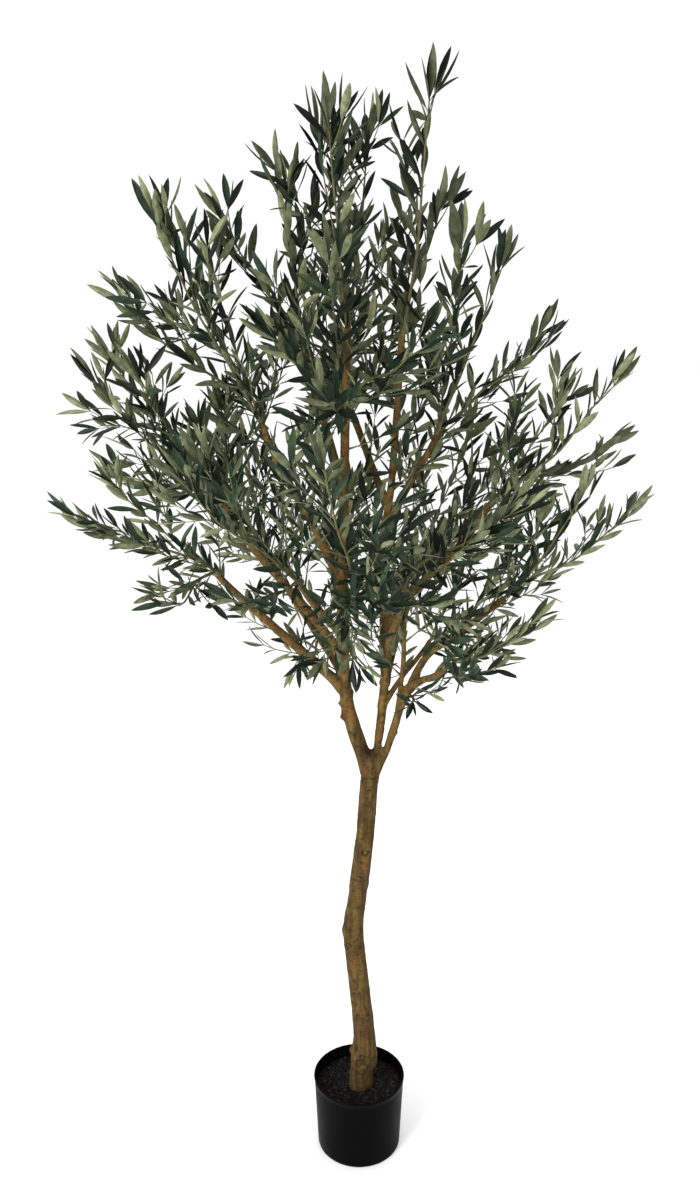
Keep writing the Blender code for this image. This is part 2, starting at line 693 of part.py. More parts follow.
    def join(self, body, parts):
        """Fuse twigs and leaves onto the stem."""
        group = bpy.data.collections.new("joining")
        bpy.context.scene.collection.children.link(group)
        for mesh in parts:
            group.objects.link(bpy.data.objects.new("piece", mesh))
        joined = boolean_mesh(body, "UNION", group=group)
        for piece in list(group.objects):
            bpy.data.objects.remove(piece)
        bpy.data.collections.remove(group)
        return joined


def main():
    for obj in list(bpy.data.objects):
        bpy.data.objects.remove(obj)
    rng = random.Random(SEED)
    build_pot()
    build_fill()
    trunk = build_trunk()
    limbs = build_boughs(rng)
    stems = plan_stems(limbs)
    space = Space(stems, {"trunk": trunk, **limbs})
    for name, (course, first) in stems.items():
        Spray(name, course, space, rng).build(first)


main()
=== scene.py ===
"""Looks of the potted artificial olive tree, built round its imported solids.

Metres, +Z up.  Heights in the tables of the stem, boughs and sprays are above the fill's top.
Azimuths are in degrees from +X towards +Y, and a reach is a distance from the pot's axis.
"""
import math
import random
import bmesh
import bpy
import numpy as np
from bpy.props import FloatProperty, FloatVectorProperty, PointerProperty
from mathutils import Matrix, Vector, noise
from mathutils.kdtree import KDTree


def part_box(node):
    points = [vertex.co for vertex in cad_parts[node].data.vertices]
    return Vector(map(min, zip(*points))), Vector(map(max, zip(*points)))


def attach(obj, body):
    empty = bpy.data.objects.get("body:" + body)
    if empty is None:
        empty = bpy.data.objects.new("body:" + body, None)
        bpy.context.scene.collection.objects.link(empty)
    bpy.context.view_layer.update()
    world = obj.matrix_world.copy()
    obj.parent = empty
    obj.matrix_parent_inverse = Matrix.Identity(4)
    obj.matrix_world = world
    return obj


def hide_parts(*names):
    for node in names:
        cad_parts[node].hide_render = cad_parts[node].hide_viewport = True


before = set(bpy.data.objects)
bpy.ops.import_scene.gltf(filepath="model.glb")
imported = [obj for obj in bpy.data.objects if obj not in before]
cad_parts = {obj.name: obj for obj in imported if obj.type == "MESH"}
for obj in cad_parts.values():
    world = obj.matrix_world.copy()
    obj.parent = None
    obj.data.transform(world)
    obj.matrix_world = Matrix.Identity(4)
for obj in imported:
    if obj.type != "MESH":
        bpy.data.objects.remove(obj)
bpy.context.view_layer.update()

bl_info = {
    "name": "Potted olive tree",
    "version": (1, 0, 0),
    "blender": (4, 5, 0),
    "location": "3D View > Sidebar > Olive",
    "description": "Bark, twigs, leaves, pot and stage of a potted artificial olive tree",
    "category": "Object",
}

SEED = 24
LEAF_SEED = 5
UP = Vector((0.0, 0.0, 1.0))
MASSES = sorted(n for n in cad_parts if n.startswith("foliage_"))
LIMBS = sorted(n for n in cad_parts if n.startswith("bough_"))

# ---- The tree's own sizes, the same as the solids'

FIT_GAP = 0.0003
CURVE_HANDLE = 0.33         # a curve's handles as a share of its straight length

POT_HEIGHT = 0.178
POT_RIM_RADIUS = 0.104
POT_BASE_RADIUS = 0.096
POT_WALL = 0.0025
POT_FLOOR = 0.003
FILL_LEVEL = 0.148

# Stem: height, sideways offset, half width and half depth
TRUNK_SECTIONS = (
    (0.000, 0.0083, 0.0305, 0.0300),
    (0.018, 0.0095, 0.0280, 0.0275),
    (0.055, 0.0110, 0.0262, 0.0258),
    (0.126, 0.0125, 0.0250, 0.0246),
    (0.190, 0.0077, 0.0242, 0.0240),
    (0.378, -0.0121, 0.0226, 0.0222),
    (0.409, -0.0130, 0.0228, 0.0218),
    (0.439, -0.0118, 0.0221, 0.0215),
    (0.469, -0.0066, 0.0212, 0.0211),
    (0.647, 0.0129, 0.0204, 0.0203),
    (0.761, 0.0200, 0.0196, 0.0196),
    (0.789, 0.0231, 0.0208, 0.0200),
    (0.817, 0.0272, 0.0290, 0.0225),
    (0.840, 0.0265, 0.0394, 0.0250),
)
TRUNK_SWAY = 0.009          # gentle bend in depth, none at either end
FLARE_LOBES = 3
FLARE_DEPTH = 0.07          # share of the radius, fading upwards
FLARE_HEIGHT = 0.05

# Leaders stand side by side on the fork: base radius, then x, y and height of the points passed
LEADERS = {
    "bough_left_leader": (0.0180, (
        (0.0060, 0.000, 0.840), (-0.0147, 0.000, 0.900), (-0.0306, 0.000, 0.981),
        (-0.0356, 0.010, 1.135), (-0.0310, 0.005, 1.516), (-0.0250, 0.000, 1.730))),
    "bough_middle_leader": (0.0100, (
        (0.0355, 0.004, 0.840), (0.0439, 0.006, 0.900), (0.0544, 0.010, 1.037),
        (0.0470, 0.012, 1.179), (0.0440, 0.000, 1.301), (0.0612, -0.010, 1.418),
        (0.0790, -0.020, 1.711))),
    "bough_right_leader": (0.0092, (
        (0.0560, -0.003, 0.840), (0.0738, -0.003, 0.900), (0.0891, -0.005, 0.952),
        (0.1360, -0.010, 1.055), (0.2000, -0.020, 1.110), (0.2940, -0.030, 1.191))),
}
# Side boughs of each leader: height left, azimuth, reach and height of the tip, base radius
SIDE_BOUGHS = {
    "bough_left_leader": {
        "bough_low_left": (0.982, 192, 0.296, 1.253, 0.0112),
        "bough_back_left": (1.015, 135, 0.283, 1.216, 0.0098),
        "bough_left": (1.048, 174, 0.284, 1.378, 0.0105),
        "bough_front_left": (1.098, 238, 0.225, 1.268, 0.0096),
        "bough_back": (1.108, 104, 0.227, 1.246, 0.0094),
        "bough_front": (1.150, 268, 0.205, 1.262, 0.0096),
        "bough_high_left": (1.200, 180, 0.195, 1.538, 0.0094),
        "bough_front_high": (1.350, 258, 0.143, 1.598, 0.0086),
        "bough_upper_left": (1.385, 156, 0.121, 1.677, 0.0086),
    },
    "bough_middle_leader": {
        "bough_back_right": (0.990, 56, 0.242, 1.216, 0.0084),
        "bough_front_right": (1.050, 294, 0.210, 1.255, 0.0084),
        "bough_right": (1.115, 0, 0.261, 1.377, 0.0084),
        "bough_upper_right": (1.322, 0, 0.157, 1.528, 0.0078),
        "bough_back_high": (1.375, 110, 0.149, 1.636, 0.0078),
    },
    "bough_right_leader": {
        "bough_lowest_right": (0.985, 328, 0.205, 1.075, 0.0078),
    },
}
# Thin limbs that part from the leaders just above the fork, in the same form
SPLIT_LIMBS = {
    "bough_middle_leader": {
        "split_middle": (0.938, 24, 0.050, 1.151, 0.0074),
        "split_middle_right": (0.944, 20, 0.160, 1.075, 0.0060),
    },
    "bough_right_leader": {
        "split_right": (0.930, 347, 0.094, 1.138, 0.0056),
    },
}
BOUGH_TIP_RADIUS = 0.0065
SPLIT_TIP_RADIUS = 0.0042
BOUGH_STEPS = 6
LEADER_STEPS = 2
BOUGH_ARCH = 0.22           # how far a side bough turns up towards its tip
BOUGH_LIFT = 0.1            # how far it leaves its leader above its straight line
BOUGH_WANDER = 0.004        # crookedness
WANDER_WAVES = (5.0, 4.0)   # radians of crookedness along a bough, both ways across it

# Masses of foliage on each bough: azimuth, reach and height of the furthest leaf tip
MASSES_ON = {
    "bough_left_leader": {"top_front": (247, 0.163, 2.152), "top_back": (82, 0.152, 2.177)},
    "bough_middle_leader": {"top": (330, 0.146, 2.212), "top_right": (30, 0.197, 2.031)},
    "bough_right_leader": {"far_right": (0, 0.588, 1.420), "right_inner": (335, 0.472, 1.493)},
    "bough_low_left": {"far_left": (184.5, 0.622, 1.412), "low_left": (218, 0.488, 1.262)},
    "bough_left": {"left_middle": (170, 0.575, 1.479), "left_raised": (190.5, 0.548, 1.695)},
    "bough_high_left": {"left_high": (171, 0.522, 1.838), "upper_left": (196, 0.412, 1.992)},
    "bough_upper_left": {"upper_left_back": (158.6, 0.330, 2.014),
                         "top_left": (180, 0.160, 2.059)},
    "bough_upper_right": {"upper_right": (340, 0.288, 1.911), "right_high": (14, 0.417, 1.777)},
    "bough_right": {"right_raised": (355, 0.527, 1.694), "right_middle": (14.6, 0.594, 1.532)},
    "bough_lowest_right": {"low_right": (338, 0.407, 1.226),
                           "lowest_front_right": (302, 0.389, 1.145),
                           "lowest_right": (14, 0.365, 1.120)},
    "bough_front_left": {"front_left_low": (236, 0.469, 1.297), "front_left": (225, 0.490, 1.547)},
    "bough_front": {"front_lowest": (256, 0.400, 1.140), "front_low": (277, 0.490, 1.330),
                    "front": (262, 0.501, 1.584)},
    "bough_front_right": {"front_right_low": (297, 0.410, 1.180),
                          "front_right": (310, 0.470, 1.515)},
    "bough_front_high": {"front_upper_left": (240, 0.363, 1.775),
                         "front_upper_right": (292, 0.355, 1.775)},
    "bough_back_left": {"back_left_low": (125, 0.520, 1.230), "back_left": (142, 0.564, 1.481)},
    "bough_back": {"back_low": (92, 0.502, 1.180), "back": (104, 0.505, 1.544)},
    "bough_back_right": {"back_right_low": (66, 0.505, 1.210), "back_right": (44, 0.508, 1.504)},
    "bough_back_high": {"back_upper_left": (128, 0.383, 1.882),
                        "back_upper_right": (70, 0.342, 1.904)},
}
SPRAYS = {"foliage_" + name: (bough, *tip)
          for bough, masses in MASSES_ON.items() for name, tip in masses.items()}
# Smaller sprays that fill the head: limb, share along it, azimuth, reach and height of the tip
INNER_SPRAYS = (
    ("bough_left", 0.75, 169, 0.304, 1.637),
    ("bough_left", 0.95, 193, 0.461, 1.708),
    ("bough_back_left", 0.95, 154, 0.414, 1.582),
    ("bough_upper_right", 0.80, 354, 0.199, 1.961),
    ("bough_low_left", 0.92, 193, 0.524, 1.500),
    ("bough_right_leader", 0.62, 352, 0.289, 1.263),
    ("bough_right_leader", 0.90, 351, 0.386, 1.418),
    ("bough_front", 0.30, 267, 0.130, 1.025),
    ("bough_right_leader", 0.45, 322, 0.164, 1.010),
    ("bough_low_left", 0.35, 201, 0.166, 1.107),
    ("bough_middle_leader", 0.80, 40, 0.216, 1.717),
    ("bough_left", 0.97, 174, 0.537, 1.734),
    ("bough_high_left", 0.95, 158, 0.342, 1.908),
    ("bough_left_leader", 0.97, 162, 0.095, 2.163),
    ("bough_high_left", 0.95, 196, 0.366, 1.940),
    ("bough_right", 0.90, 10, 0.441, 1.650),
    ("split_middle", 0.95, 43, 0.044, 1.299),
    ("split_middle_right", 0.95, 26, 0.253, 1.246),
    ("split_right", 0.95, 331, 0.124, 1.350),
    ("bough_front_high", 0.85, 262, 0.400, 1.652),
    ("bough_left_leader", 0.80, 255, 0.240, 1.922),
    ("bough_front", 0.90, 275, 0.450, 1.432),
    ("bough_front_right", 0.90, 305, 0.420, 1.452),
    ("bough_front_left", 0.90, 222, 0.420, 1.572),
    ("bough_back_high", 0.90, 95, 0.410, 1.700),
    ("bough_back", 0.90, 88, 0.460, 1.352),
    ("bough_left_leader", 0.85, 95, 0.260, 1.990),
    ("bough_back_right", 0.90, 50, 0.420, 1.572),
    ("bough_back_left", 0.90, 128, 0.450, 1.532),
    ("bough_back", 0.50, 95, 0.230, 1.440),
)
STEM_SPREAD = 0.0034        # stems that share a bough's tip stand this far from its middle
STEM_FAN = 0.5              # how far such stems lean apart where they start
STEM_ARCH = 0.30
SOLID_STEM_STEPS = 4
STEM_STEPS = 12
SOLID_LEAF_LENGTH = 0.124
TIP_LEAF_SINK = 0.006
TWIG_TRIES = 10
TWIG_SHRINKS = (1.0, 0.75, 0.5)
TWIG_LEAN = 46.0
TWIG_LEAN_VARIES = 6.0
TWIG_RISE = 0.12
TWIG_SHARES = (0.483, 0.273)    # a twig as a share of its stem, at the stem's foot and end
GOLDEN_TURN = 137.5
TEST_SHARES = (0.35, 0.7, 1.0)
TWIG_CLEARANCE = 0.0025
REACH_ROOM = 0.02           # how far a side leaf may pass its mass's furthest tip
INNER_REACH = 0.22          # masses nearer the middle than this may spread to here
DROOP_ROOM = 0.14           # a drooping mass may rise this far above its bough's tip
SHORTEST_RUN = 0.05         # over which a mass's lower limit rises or falls

# ---- What the looks add

# Bark relief
STEM_STEP = 0.006           # height between the rings of the stem's skin before it is fused
SKIN_SIDES = 36
VOXEL = 0.0019
SMOOTH_TURNS = 5
SMOOTH_FACTOR = 0.5
FORK_FROM = 0.770           # from here up the stem is no deeper than its widest leader
FORK_DEPTH = 0.0192
FORK_THINS = 0.55           # and this much shallower on its right, under the thin leaders
FORK_TURNS = 45             # more smoothing where the leaders part
FORK_FACTOR = 0.6
FORK_MIDDLE = 0.835
FORK_REACH = 0.034
FORK_FADED = 5.0            # where that smoothing has faded to nothing that shows
COLLAR_SWELL = 0.45         # a bough's swelling where it leaves its leader
COLLAR_LENGTH = 0.016
LEADER_ROOT = 0.060         # how far a leader runs down inside the fork
LEADERS_MEET = 0.780        # height of the stem whose middle the leaders' roots aim at
ROOT_POINTS = (1.0, 0.75, 0.5, 0.25)    # shares of a root, from its end up
BARK_FINENESS = 5           # steps of a limb's skin for each of the solid's
BOUGH_SIDES = 20
CAP_EDGES = 21              # a face with this many edges or more is the cap of a level cut
BARK_CUTS = (1.075, 1.350)  # above the ground: the ends of the stem's and lower boughs' pieces
# Knobs: limb, height, azimuth, rise, spread
NAMED_KNOBS = (
    ("trunk", 0.096, 188.0, 0.0058, 0.0085),
    ("trunk", 0.062, 262.0, 0.0035, 0.0099),
    ("trunk", 0.404, 190.0, 0.0040, 0.0127),
    ("trunk", 0.520, 15.0, 0.0022, 0.0080),
    ("bough_left_leader", 0.920, 184.0, 0.0060, 0.0065),
    ("bough_left_leader", 0.951, 176.0, 0.0055, 0.0050),
    ("bough_right_leader", 0.886, 340.0, 0.0026, 0.0045),
)
SEEDED_KNOBS = 3            # more on each bough: share along it, rise and spread by its radius
KNOB_PLACES = (0.15, 0.90)
KNOB_RISES = (0.14, 0.26)
KNOB_SPREADS = (0.45, 0.80)
KNOB_REACH = 2.5            # spreads from its middle within which a knob is felt
LUMPS = (0.055, 0.0011)     # size and depth of the broad lumps
WRINKLES = (0.026, 0.0068, 0.00045)     # length round the limb, height and depth
FINE_WRINKLES = (2.3, 0.4)              # how much finer and how deep beside the wrinkles
PITS = (0.0095, 0.28, 0.0022)           # size, how rare, depth
FULL_RELIEF = 0.022         # radius of a limb that carries the full relief
THIN_RELIEF = 0.35          # share of it on the thinnest
FOOT_SWELL = (0.073, 0.036, 0.0046)     # swelling above the sleeve: height, reach, rise
SLEEVE_TOP = 0.053          # the stem's foot stands in a narrower sleeve
SLEEVE_STEP = 0.0006
SLEEVE_OFFSET = -0.0055     # which stands a little to the left
SLEEVE_WAVE = 0.0015        # unevenness and softness of its edge
SLEEVE_EDGE = 0.0006
# Curled scars above the sleeve: height, azimuth and radius of the curl, and its first and last
# angle, anticlockwise from the right
SCAR_CURLS = (
    (0.0860, 260.0, 0.0105, 35.0, 140.0),
    (0.0745, 252.0, 0.0100, 100.0, 235.0),
    (0.0655, 273.0, 0.0090, 215.0, 385.0),
    (0.0790, 276.0, 0.0085, 95.0, 200.0),
    (0.3720, 236.0, 0.0075, 20.0, 250.0),
    (0.6080, 283.0, 0.0070, 150.0, 380.0),
)
SCAR_DEPTH = 0.0026
SCAR_WIDTH = 0.0021
SCAR_REACH = 0.025          # above and below its middle
SCAR_RAGGED = 0.0008        # how far its edge strays, and over what length
SCAR_RAGS = 0.005
SCAR_LIP = (0.0050, 0.0020, 0.0022)     # how far out the lip stands, its rise and width
STEM_RINGS = (0.470, 0.539, 0.654, 0.685, 0.776, 0.786)     # old leaf rings round the stem
RING_DEPTH = 0.0010
RING_WIDTH = 0.0017
RING_WAVE = 0.0016
RING_FAINTEST = 0.35        # share of its depth where a ring is faintest
MARKS_OVER_STEM = 0.02      # how far above the stem's top its marks are looked for
CROTCH_BELOW_TOP = 0.06     # and how far below it the crotch's are
CROTCH = (0.0235, -0.016, 0.998)    # hollow between two leaders, its height above the ground
CROTCH_REACH = (0.023, 0.018)       # of its painted shade and of its dent
CROTCH_DENT = 0.0045
# How dark the painted shade is in each kind of hollow, from 0 to 1
CROTCH_PAINTED_SHADE, RING_PAINTED_SHADE, KNOB_PAINTED_SHADE = 0.85, 0.62, 0.45
PIT_PAINTED_SHADE, DARKEST_PIT_SHADE = 3.0, 0.6       # for each unit of the pit's noise, and at most
SLEEVE_PAINTED_SHADE = (0.8, 0.001, 0.0022)     # at the sleeve's edge; how far below it, and how wide

# Stems and twigs
STEM_RADII = (0.0038, 0.0012)
INNER_STEM_RADII = (0.0026, 0.0010)
STEM_SIDES = 8
STEM_ROOT = 0.014           # how deep a stem's foot is sunk in its bough
STEM_WANDER = 0.0045
STEM_WAVES = (9.0, 7.0)
ROOT_SWELL = 0.9            # swelling of a stem or twig where it leaves what carries it
ROOT_SWELL_LENGTH = 0.007
TWIG_RADII = (0.0017, 0.0008)
TWIG_SIDES = 5
TWIG_ARCH = 0.25
TWIG_STEPS = 6
TWIG_STRETCH = (0.05, 0.88)     # of a stem, where twigs leave it
TWIG_CLOSES = 18.0          # a twig near the stem's end leans less by this many degrees
TWIG_TAPER = (0.75, 0.03)   # a twig ends this share, plus this, of the way to the stem's end
TWIGS_OPEN = 1.8            # power of the leaf length by which twigs stand further apart
FEWEST_TWIGS = 3
FINE_RADII = (0.0012, 0.0006)
FINE_SIDES = 4
FINE_ARCH = 0.15
FINE_STEPS = 4
FINE_SHARES = (0.30, 0.60)  # where finer twigs leave a twig
FINE_FROM = 0.12            # only twigs this long carry finer ones
FINE_LENGTH = 0.42
FINE_SHORTENS = 0.6         # share of that length lost by one at the twig's end
FINE_LEAN = 36.0
FREE_SIDE = 70.0            # turn round the twig at which its finer twigs start
LEAN_VARIES = 8.0           # of finer twigs and shoots
BOUGH_SHOOTS = (0.22, 0.97)     # stretch of a bough that carries short leafy shoots
SHOOTS_FROM = 0.965         # height below which the boughs are bare
SHOOT_STEPS = 5
SHOOT_LEAN = 50.0
SHOOT_TURN = 29.0           # further turn for each tube that has grown, so that boughs differ
SHOOT_LENGTHS = (0.7, 1.4)  # times the usual length
SHOOT_TEST = 0.6            # share of it that has to be clear of the limbs, with its tip
SHOOT_DROOP = -0.10         # a shoot that would point further down than this is left out
SPRAY_SAG = 0.048           # how far leaves hang below the line of their stem

# Leaves; a pair of sizes is at the foot and at the end of what carries them
HEAD = (1.1, 1.1)           # height above the ground where the head starts, and its own height
STEM_LEAVES = (0.95, 1.22)
TWIG_LEAVES = (0.85, 1.05)
FINE_LEAVES = (0.72, 0.92)
STEM_BARE, TWIG_BARE, FINE_BARE, SHOOT_BARE = 0.04, 0.12, 0.30, 0.25    # shares without leaves
TWIG_TURN, FINE_TURN = 40.0, 55.0       # from one twig's first pair to the next one's
STEM_PAIRS = 0.72           # pairs stand closer along a stem than along its twigs
PAIR_TURN = 90.0
PAIR_SHIFT = 0.25           # of the spacing, by which one leaf of a pair may stand further on
PAIR_VARIES = 13.0          # most degrees by which a leaf's lean differs
LEAF_LEANS = (52.0, 27.0)   # at a twig's foot and end
LEAF_ROLL = 65.0            # how far a leaf turns about its own length
LEAF_TRIES = 3
TRY_TURN = 60.0             # a leaf that would leave its space is tried this much further round
TURN_VARIES = 14.0          # and its turn round the twig
CLUSTER = ((15.0, 30), (27.0, 150), (37.0, 270))    # last leaves: lean and turn round the twig
CLUSTER_VARIES = 7.0
TURNED_OVER = 0.50          # share of leaves at the top of the head with the under face inwards
LEAF_LENGTHS = (0.84, 1.12)     # times the usual length
LEAF_WIDTHS = (0.85, 1.12)
LEAF_BENDS = (-0.05, 0.12)  # droop of the tip as a share of the length
# Outline of a leaf: share of its length, share of its half width
LEAF_OUTLINE = ((0.0, 0.10), (0.08, 0.16), (0.22, 0.60), (0.40, 0.92), (0.58, 1.0),
                (0.76, 0.78), (0.91, 0.40), (1.0, 0.0))
LEAF_FOLD = 0.36            # rise of the edges over the midrib, as a share of the half width
LEAF_TWIST = 38.0           # most degrees by which a leaf's end turns against its foot
LEAF_THICKNESS = 0.0005
LEAF_THINS = 0.6            # share of the thickness lost towards the tip
SPRAY_TINTS = (0.55, 0.45, 0.60)    # of a spray's tint: by chance, always, and lost at the top as painted shade
SPRAY_SHARE = 0.70          # share of the leaves that have their spray's tint

# Pot and fill
POT_SIDES = 128
POT_FOOT = 0.003            # rounding of the pot's foot
POT_BEAD = 0.0012           # how far the rim's bead stands out
BEAD_DROPS = (0.0050, 0.0044, 0.0035)   # its start, shoulder and edge, below the rim's top
BASE_RISE = 0.0012          # how far the base is raised inside the ring that the pot stands on
BASE_RING = (0.010, 0.012)  # that ring's inner edge and where the rise ends, in from the side
FOOT_STEPS, WALL_STEPS, BEAD_STEPS = 6, 16, 8
GRANULES = 1400
GRANULE_SIZES = (0.0018, 0.0044)
GRANULE_STRETCH = ((0.6, 1.3), (0.5, 1.0), (0.4, 0.8))      # least and most, on each axis
GRANULE_JAG = 0.22
GRANULE_ROOM = 0.006        # between the furthest granule's middle and the pot's wall
GRANULE_RISE = 0.0016
GRANULE_TINTS = (1.0, 0.35, 2.9)        # strengths of the granules' colour
GRANULE_MIX = (0, 0, 1, 1, 1, 2)        # how often each of them is dealt out

# Camera and lights
CAMERA_PLACE = (-0.0211, -2.14, 1.915)
CAMERA_PITCH = 15.0
CAMERA_FOCUS_PX = 1075.0
IMAGE_HEIGHT_PX = 1186
SENSOR = 36.0
SKY_STRENGTH = 1.04
# Lights: place, size and power
LIGHTS = {
    "key_light": ((-2.3, -3.0, 1.7), 1.6, 140.0),
    "fill_light": ((2.2, -3.0, 1.2), 2.0, 20.0),
    "back_light": ((0.6, 2.8, 2.6), 2.4, 25.0),
}
LIGHTS_AIM = Vector((0.0, 0.0, 1.2))
FLOOR_RADIUS = 40.0
FLOOR_SIDES = 96


def linear(hex_colour):
    """Linear RGBA of an sRGB hex colour."""
    parts = [int(hex_colour[i:i + 2], 16) / 255 for i in (1, 3, 5)]
    return [c / 12.92 if c <= 0.04045 else ((c + 0.055) / 1.055) ** 2.4 for c in parts] + [1.0]


# ---- Settings that a user would change

def length_setting(name, description, default, least, most):
    return FloatProperty(name=name, description=description, default=default, min=least,
                         max=most, subtype="DISTANCE", unit="LENGTH")


class OliveSizes(bpy.types.PropertyGroup):
    """Sizes of the twigs and leaves."""
    leaf_low: length_setting("Low leaf", "Length of a leaf low in the head", 0.052, 0.02, 0.12)
    leaf_high: length_setting("High leaf", "Length of a leaf at the top of the head",
                              0.074, 0.02, 0.12)
    leaf_slenderness: FloatProperty(
        name="Leaf width", description="Width of a leaf as a share of its length",
        default=0.192, min=0.08, max=0.5, subtype="FACTOR")
    pair_spacing: length_setting("Pair spacing", "Distance between pairs of leaves along a twig",
                                 0.030, 0.008, 0.08)
    twig_spacing: length_setting("Twig spacing", "Distance between twigs along a stem",
                                 0.069, 0.01, 0.2)
    shoot_length: length_setting("Shoot length", "Length of the short leafy shoots on the boughs",
                                 0.095, 0.0, 0.3)
    shoot_spacing: length_setting("Shoot spacing",
                                  "Distance between the leafy shoots along a bough",
                                  0.080, 0.01, 0.3)


def colour_setting(name, description, hex_colour):
    return FloatVectorProperty(name=name, description=description, subtype="COLOR", size=4,
                               min=0.0, max=1.0, default=linear(hex_colour))


class OliveColours(bpy.types.PropertyGroup):
    """Colours of the finishes."""
    stem_bark: colour_setting("Stem bark", "Olive-brown of the bare stem", "#4B381B")
    olive_streak: colour_setting("Olive streaks", "Lighter streaks down the stem", "#52441F")
    ruddy_patch: colour_setting("Ruddy patches", "Worn patches on the bark", "#5A3315")
    bough_bark: colour_setting("Bough bark", "Warm brown of the boughs", "#604B26")
    young_bark: colour_setting("Young bark", "Yellow-brown of the thin stems", "#565230")
    twig_green: colour_setting("Twig", "Green of the leafy twigs", "#565B3A")
    pot: colour_setting("Pot", "Black of the pot", "#050505")
    granules: colour_setting("Granules", "Near-black brown of the granules", "#1D1A18")
    floor: colour_setting("Floor", "Pale floor", "#FDFDFD")


TOP_GREENS = ("#10180E", "#172217", "#1F2D20", "#2B3A28")
UNDER_GREENS = ("#454B37", "#5B6147", "#727659")
TOP_FINISH, UNDER_FINISH = (0.46, 0.12), (0.75, 0.08)   # roughness and sheen


# ---- Courses of the limbs and stems, by the same rule as the solids

def polar(azimuth, reach, height):
    turn = math.radians(azimuth)
    return Vector((reach * math.cos(turn), reach * math.sin(turn), height + FILL_LEVEL))


def smooth_through(points, steps):
    """Smooth course through the given points."""
    ends = [points[0] * 2 - points[1]] + list(points) + [points[-1] * 2 - points[-2]]
    course = []
    for a, b, c, d in zip(ends, ends[1:], ends[2:], ends[3:]):
        for i in range(steps):
            t = i / steps
            course.append(0.5 * (2 * b + (c - a) * t + (2 * a - 5 * b + 4 * c - d) * t ** 2
                                 + (3 * b - a - 3 * c + d) * t ** 3))
    return course + [points[-1]]


def arched(start, end, out, arch, steps):
    """Course that leaves along out and turns up towards its end."""
    chord = end - start
    arrive = (chord.normalized() + UP * arch).normalized()
    a = start + out * chord.length * CURVE_HANDLE
    b = end - arrive * chord.length * CURVE_HANDLE
    course = []
    for i in range(steps + 1):
        t = i / steps
        course.append(start * (1 - t) ** 3 + a * 3 * t * (1 - t) ** 2
                      + b * 3 * t * t * (1 - t) + end * t ** 3)
    return course


def at_height(course, height):
    """Point where a rising course passes a height."""
    for a, b in zip(course, course[1:]):
        if a.z <= height <= b.z:
            return a.lerp(b, (height - a.z) / (b.z - a.z))
    raise ValueError("the course does not pass that height")


def directions(course):
    return [(course[min(i + 1, len(course) - 1)] - course[max(i - 1, 0)]).normalized()
            for i in range(len(course))]


def cross_pair(direction):
    """Two directions square to one direction and to each other."""
    u = direction.orthogonal().normalized()
    return u, direction.cross(u)


def turned_by(pair, turn):
    """The direction at an angle between two directions square to each other."""
    u, v = pair
    return u * math.cos(turn) + v * math.sin(turn)


def leaning(along, turn, lean):
    """The direction that leans from another by some degrees, at some degrees round it."""
    side = turned_by(cross_pair(along), math.radians(turn))
    return turned_by((along, side), math.radians(lean))


def frames(course):
    """Two cross directions at each point, carried along the course without twisting."""
    along = directions(course)
    across = along[0].orthogonal().normalized()
    result = []
    for direction in along:
        across = (across - direction * across.dot(direction)).normalized()
        result.append((across, direction.cross(across)))
    return result


def tapered(base, tip, count):
    return [base + (tip - base) * i / (count - 1) for i in range(count)]


def gone_along(course):
    """How far along the course each of its points is."""
    gone = [0.0]
    for a, b in zip(course, course[1:]):
        gone.append(gone[-1] + (b - a).length)
    return gone


def length_of(course):
    return gone_along(course)[-1]


def place_on(course, share):
    """Point and direction at a share of a course's steps."""
    place = min(max(share, 0.0), 1.0) * (len(course) - 1)
    i = min(int(place), len(course) - 2)
    return course[i].lerp(course[i + 1], place - i), (course[i + 1] - course[i]).normalized()


def trunk_sway(height):
    return TRUNK_SWAY * math.sin(math.pi * height / TRUNK_SECTIONS[-1][0])


def trunk_size(height):
    """Sideways offset, half width and half depth of the stem at a height."""
    given, *sizes = zip(*TRUNK_SECTIONS)
    return [float(np.interp(height, given, size)) for size in sizes]


def wander(course, phase, most=BOUGH_WANDER, waves=WANDER_WAVES):
    """A bough's or stem's crookedness, none at either end."""
    first, second = waves
    result = []
    for i, (point, (u, v)) in enumerate(zip(course, frames(course))):
        t = i / (len(course) - 1)
        sway = most * math.sin(math.pi * t)
        side = u * math.sin(first * t + phase) + v * math.cos(second * t + phase)
        result.append(point + side * sway)
    return result


def plan_limbs(fineness):
    """Each leader's and side bough's course and radii; fineness 1 gives the solids' own steps."""
    rng = random.Random(SEED)
    lift = FILL_LEVEL + 2 * FIT_GAP
    limbs, coarse = {}, {}
    for name, (radius, points) in LEADERS.items():
        passed = [Vector(p) + UP * lift for p in points]
        coarse[name] = smooth_through(passed, LEADER_STEPS)
        course = smooth_through(passed, LEADER_STEPS * fineness)
        limbs[name] = course, tapered(radius, BOUGH_TIP_RADIUS, len(course))
    rows = [(leader, name, row) for table in (SIDE_BOUGHS, SPLIT_LIMBS)
            for leader, boughs in table.items() for name, row in boughs.items()]
    for leader, name, (leave, azimuth, reach, height, radius) in rows:
        start = at_height(coarse[leader], leave + FILL_LEVEL)
        end = polar(azimuth, reach, height)
        out = ((end - start).normalized() + UP * BOUGH_LIFT).normalized()
        phase = rng.uniform(0, 2 * math.pi)
        course = wander(arched(start, end, out, BOUGH_ARCH, BOUGH_STEPS * fineness), phase)
        last = SPLIT_TIP_RADIUS if name.startswith("split_") else BOUGH_TIP_RADIUS
        limbs[name] = course, tapered(radius, last, len(course))
    return limbs


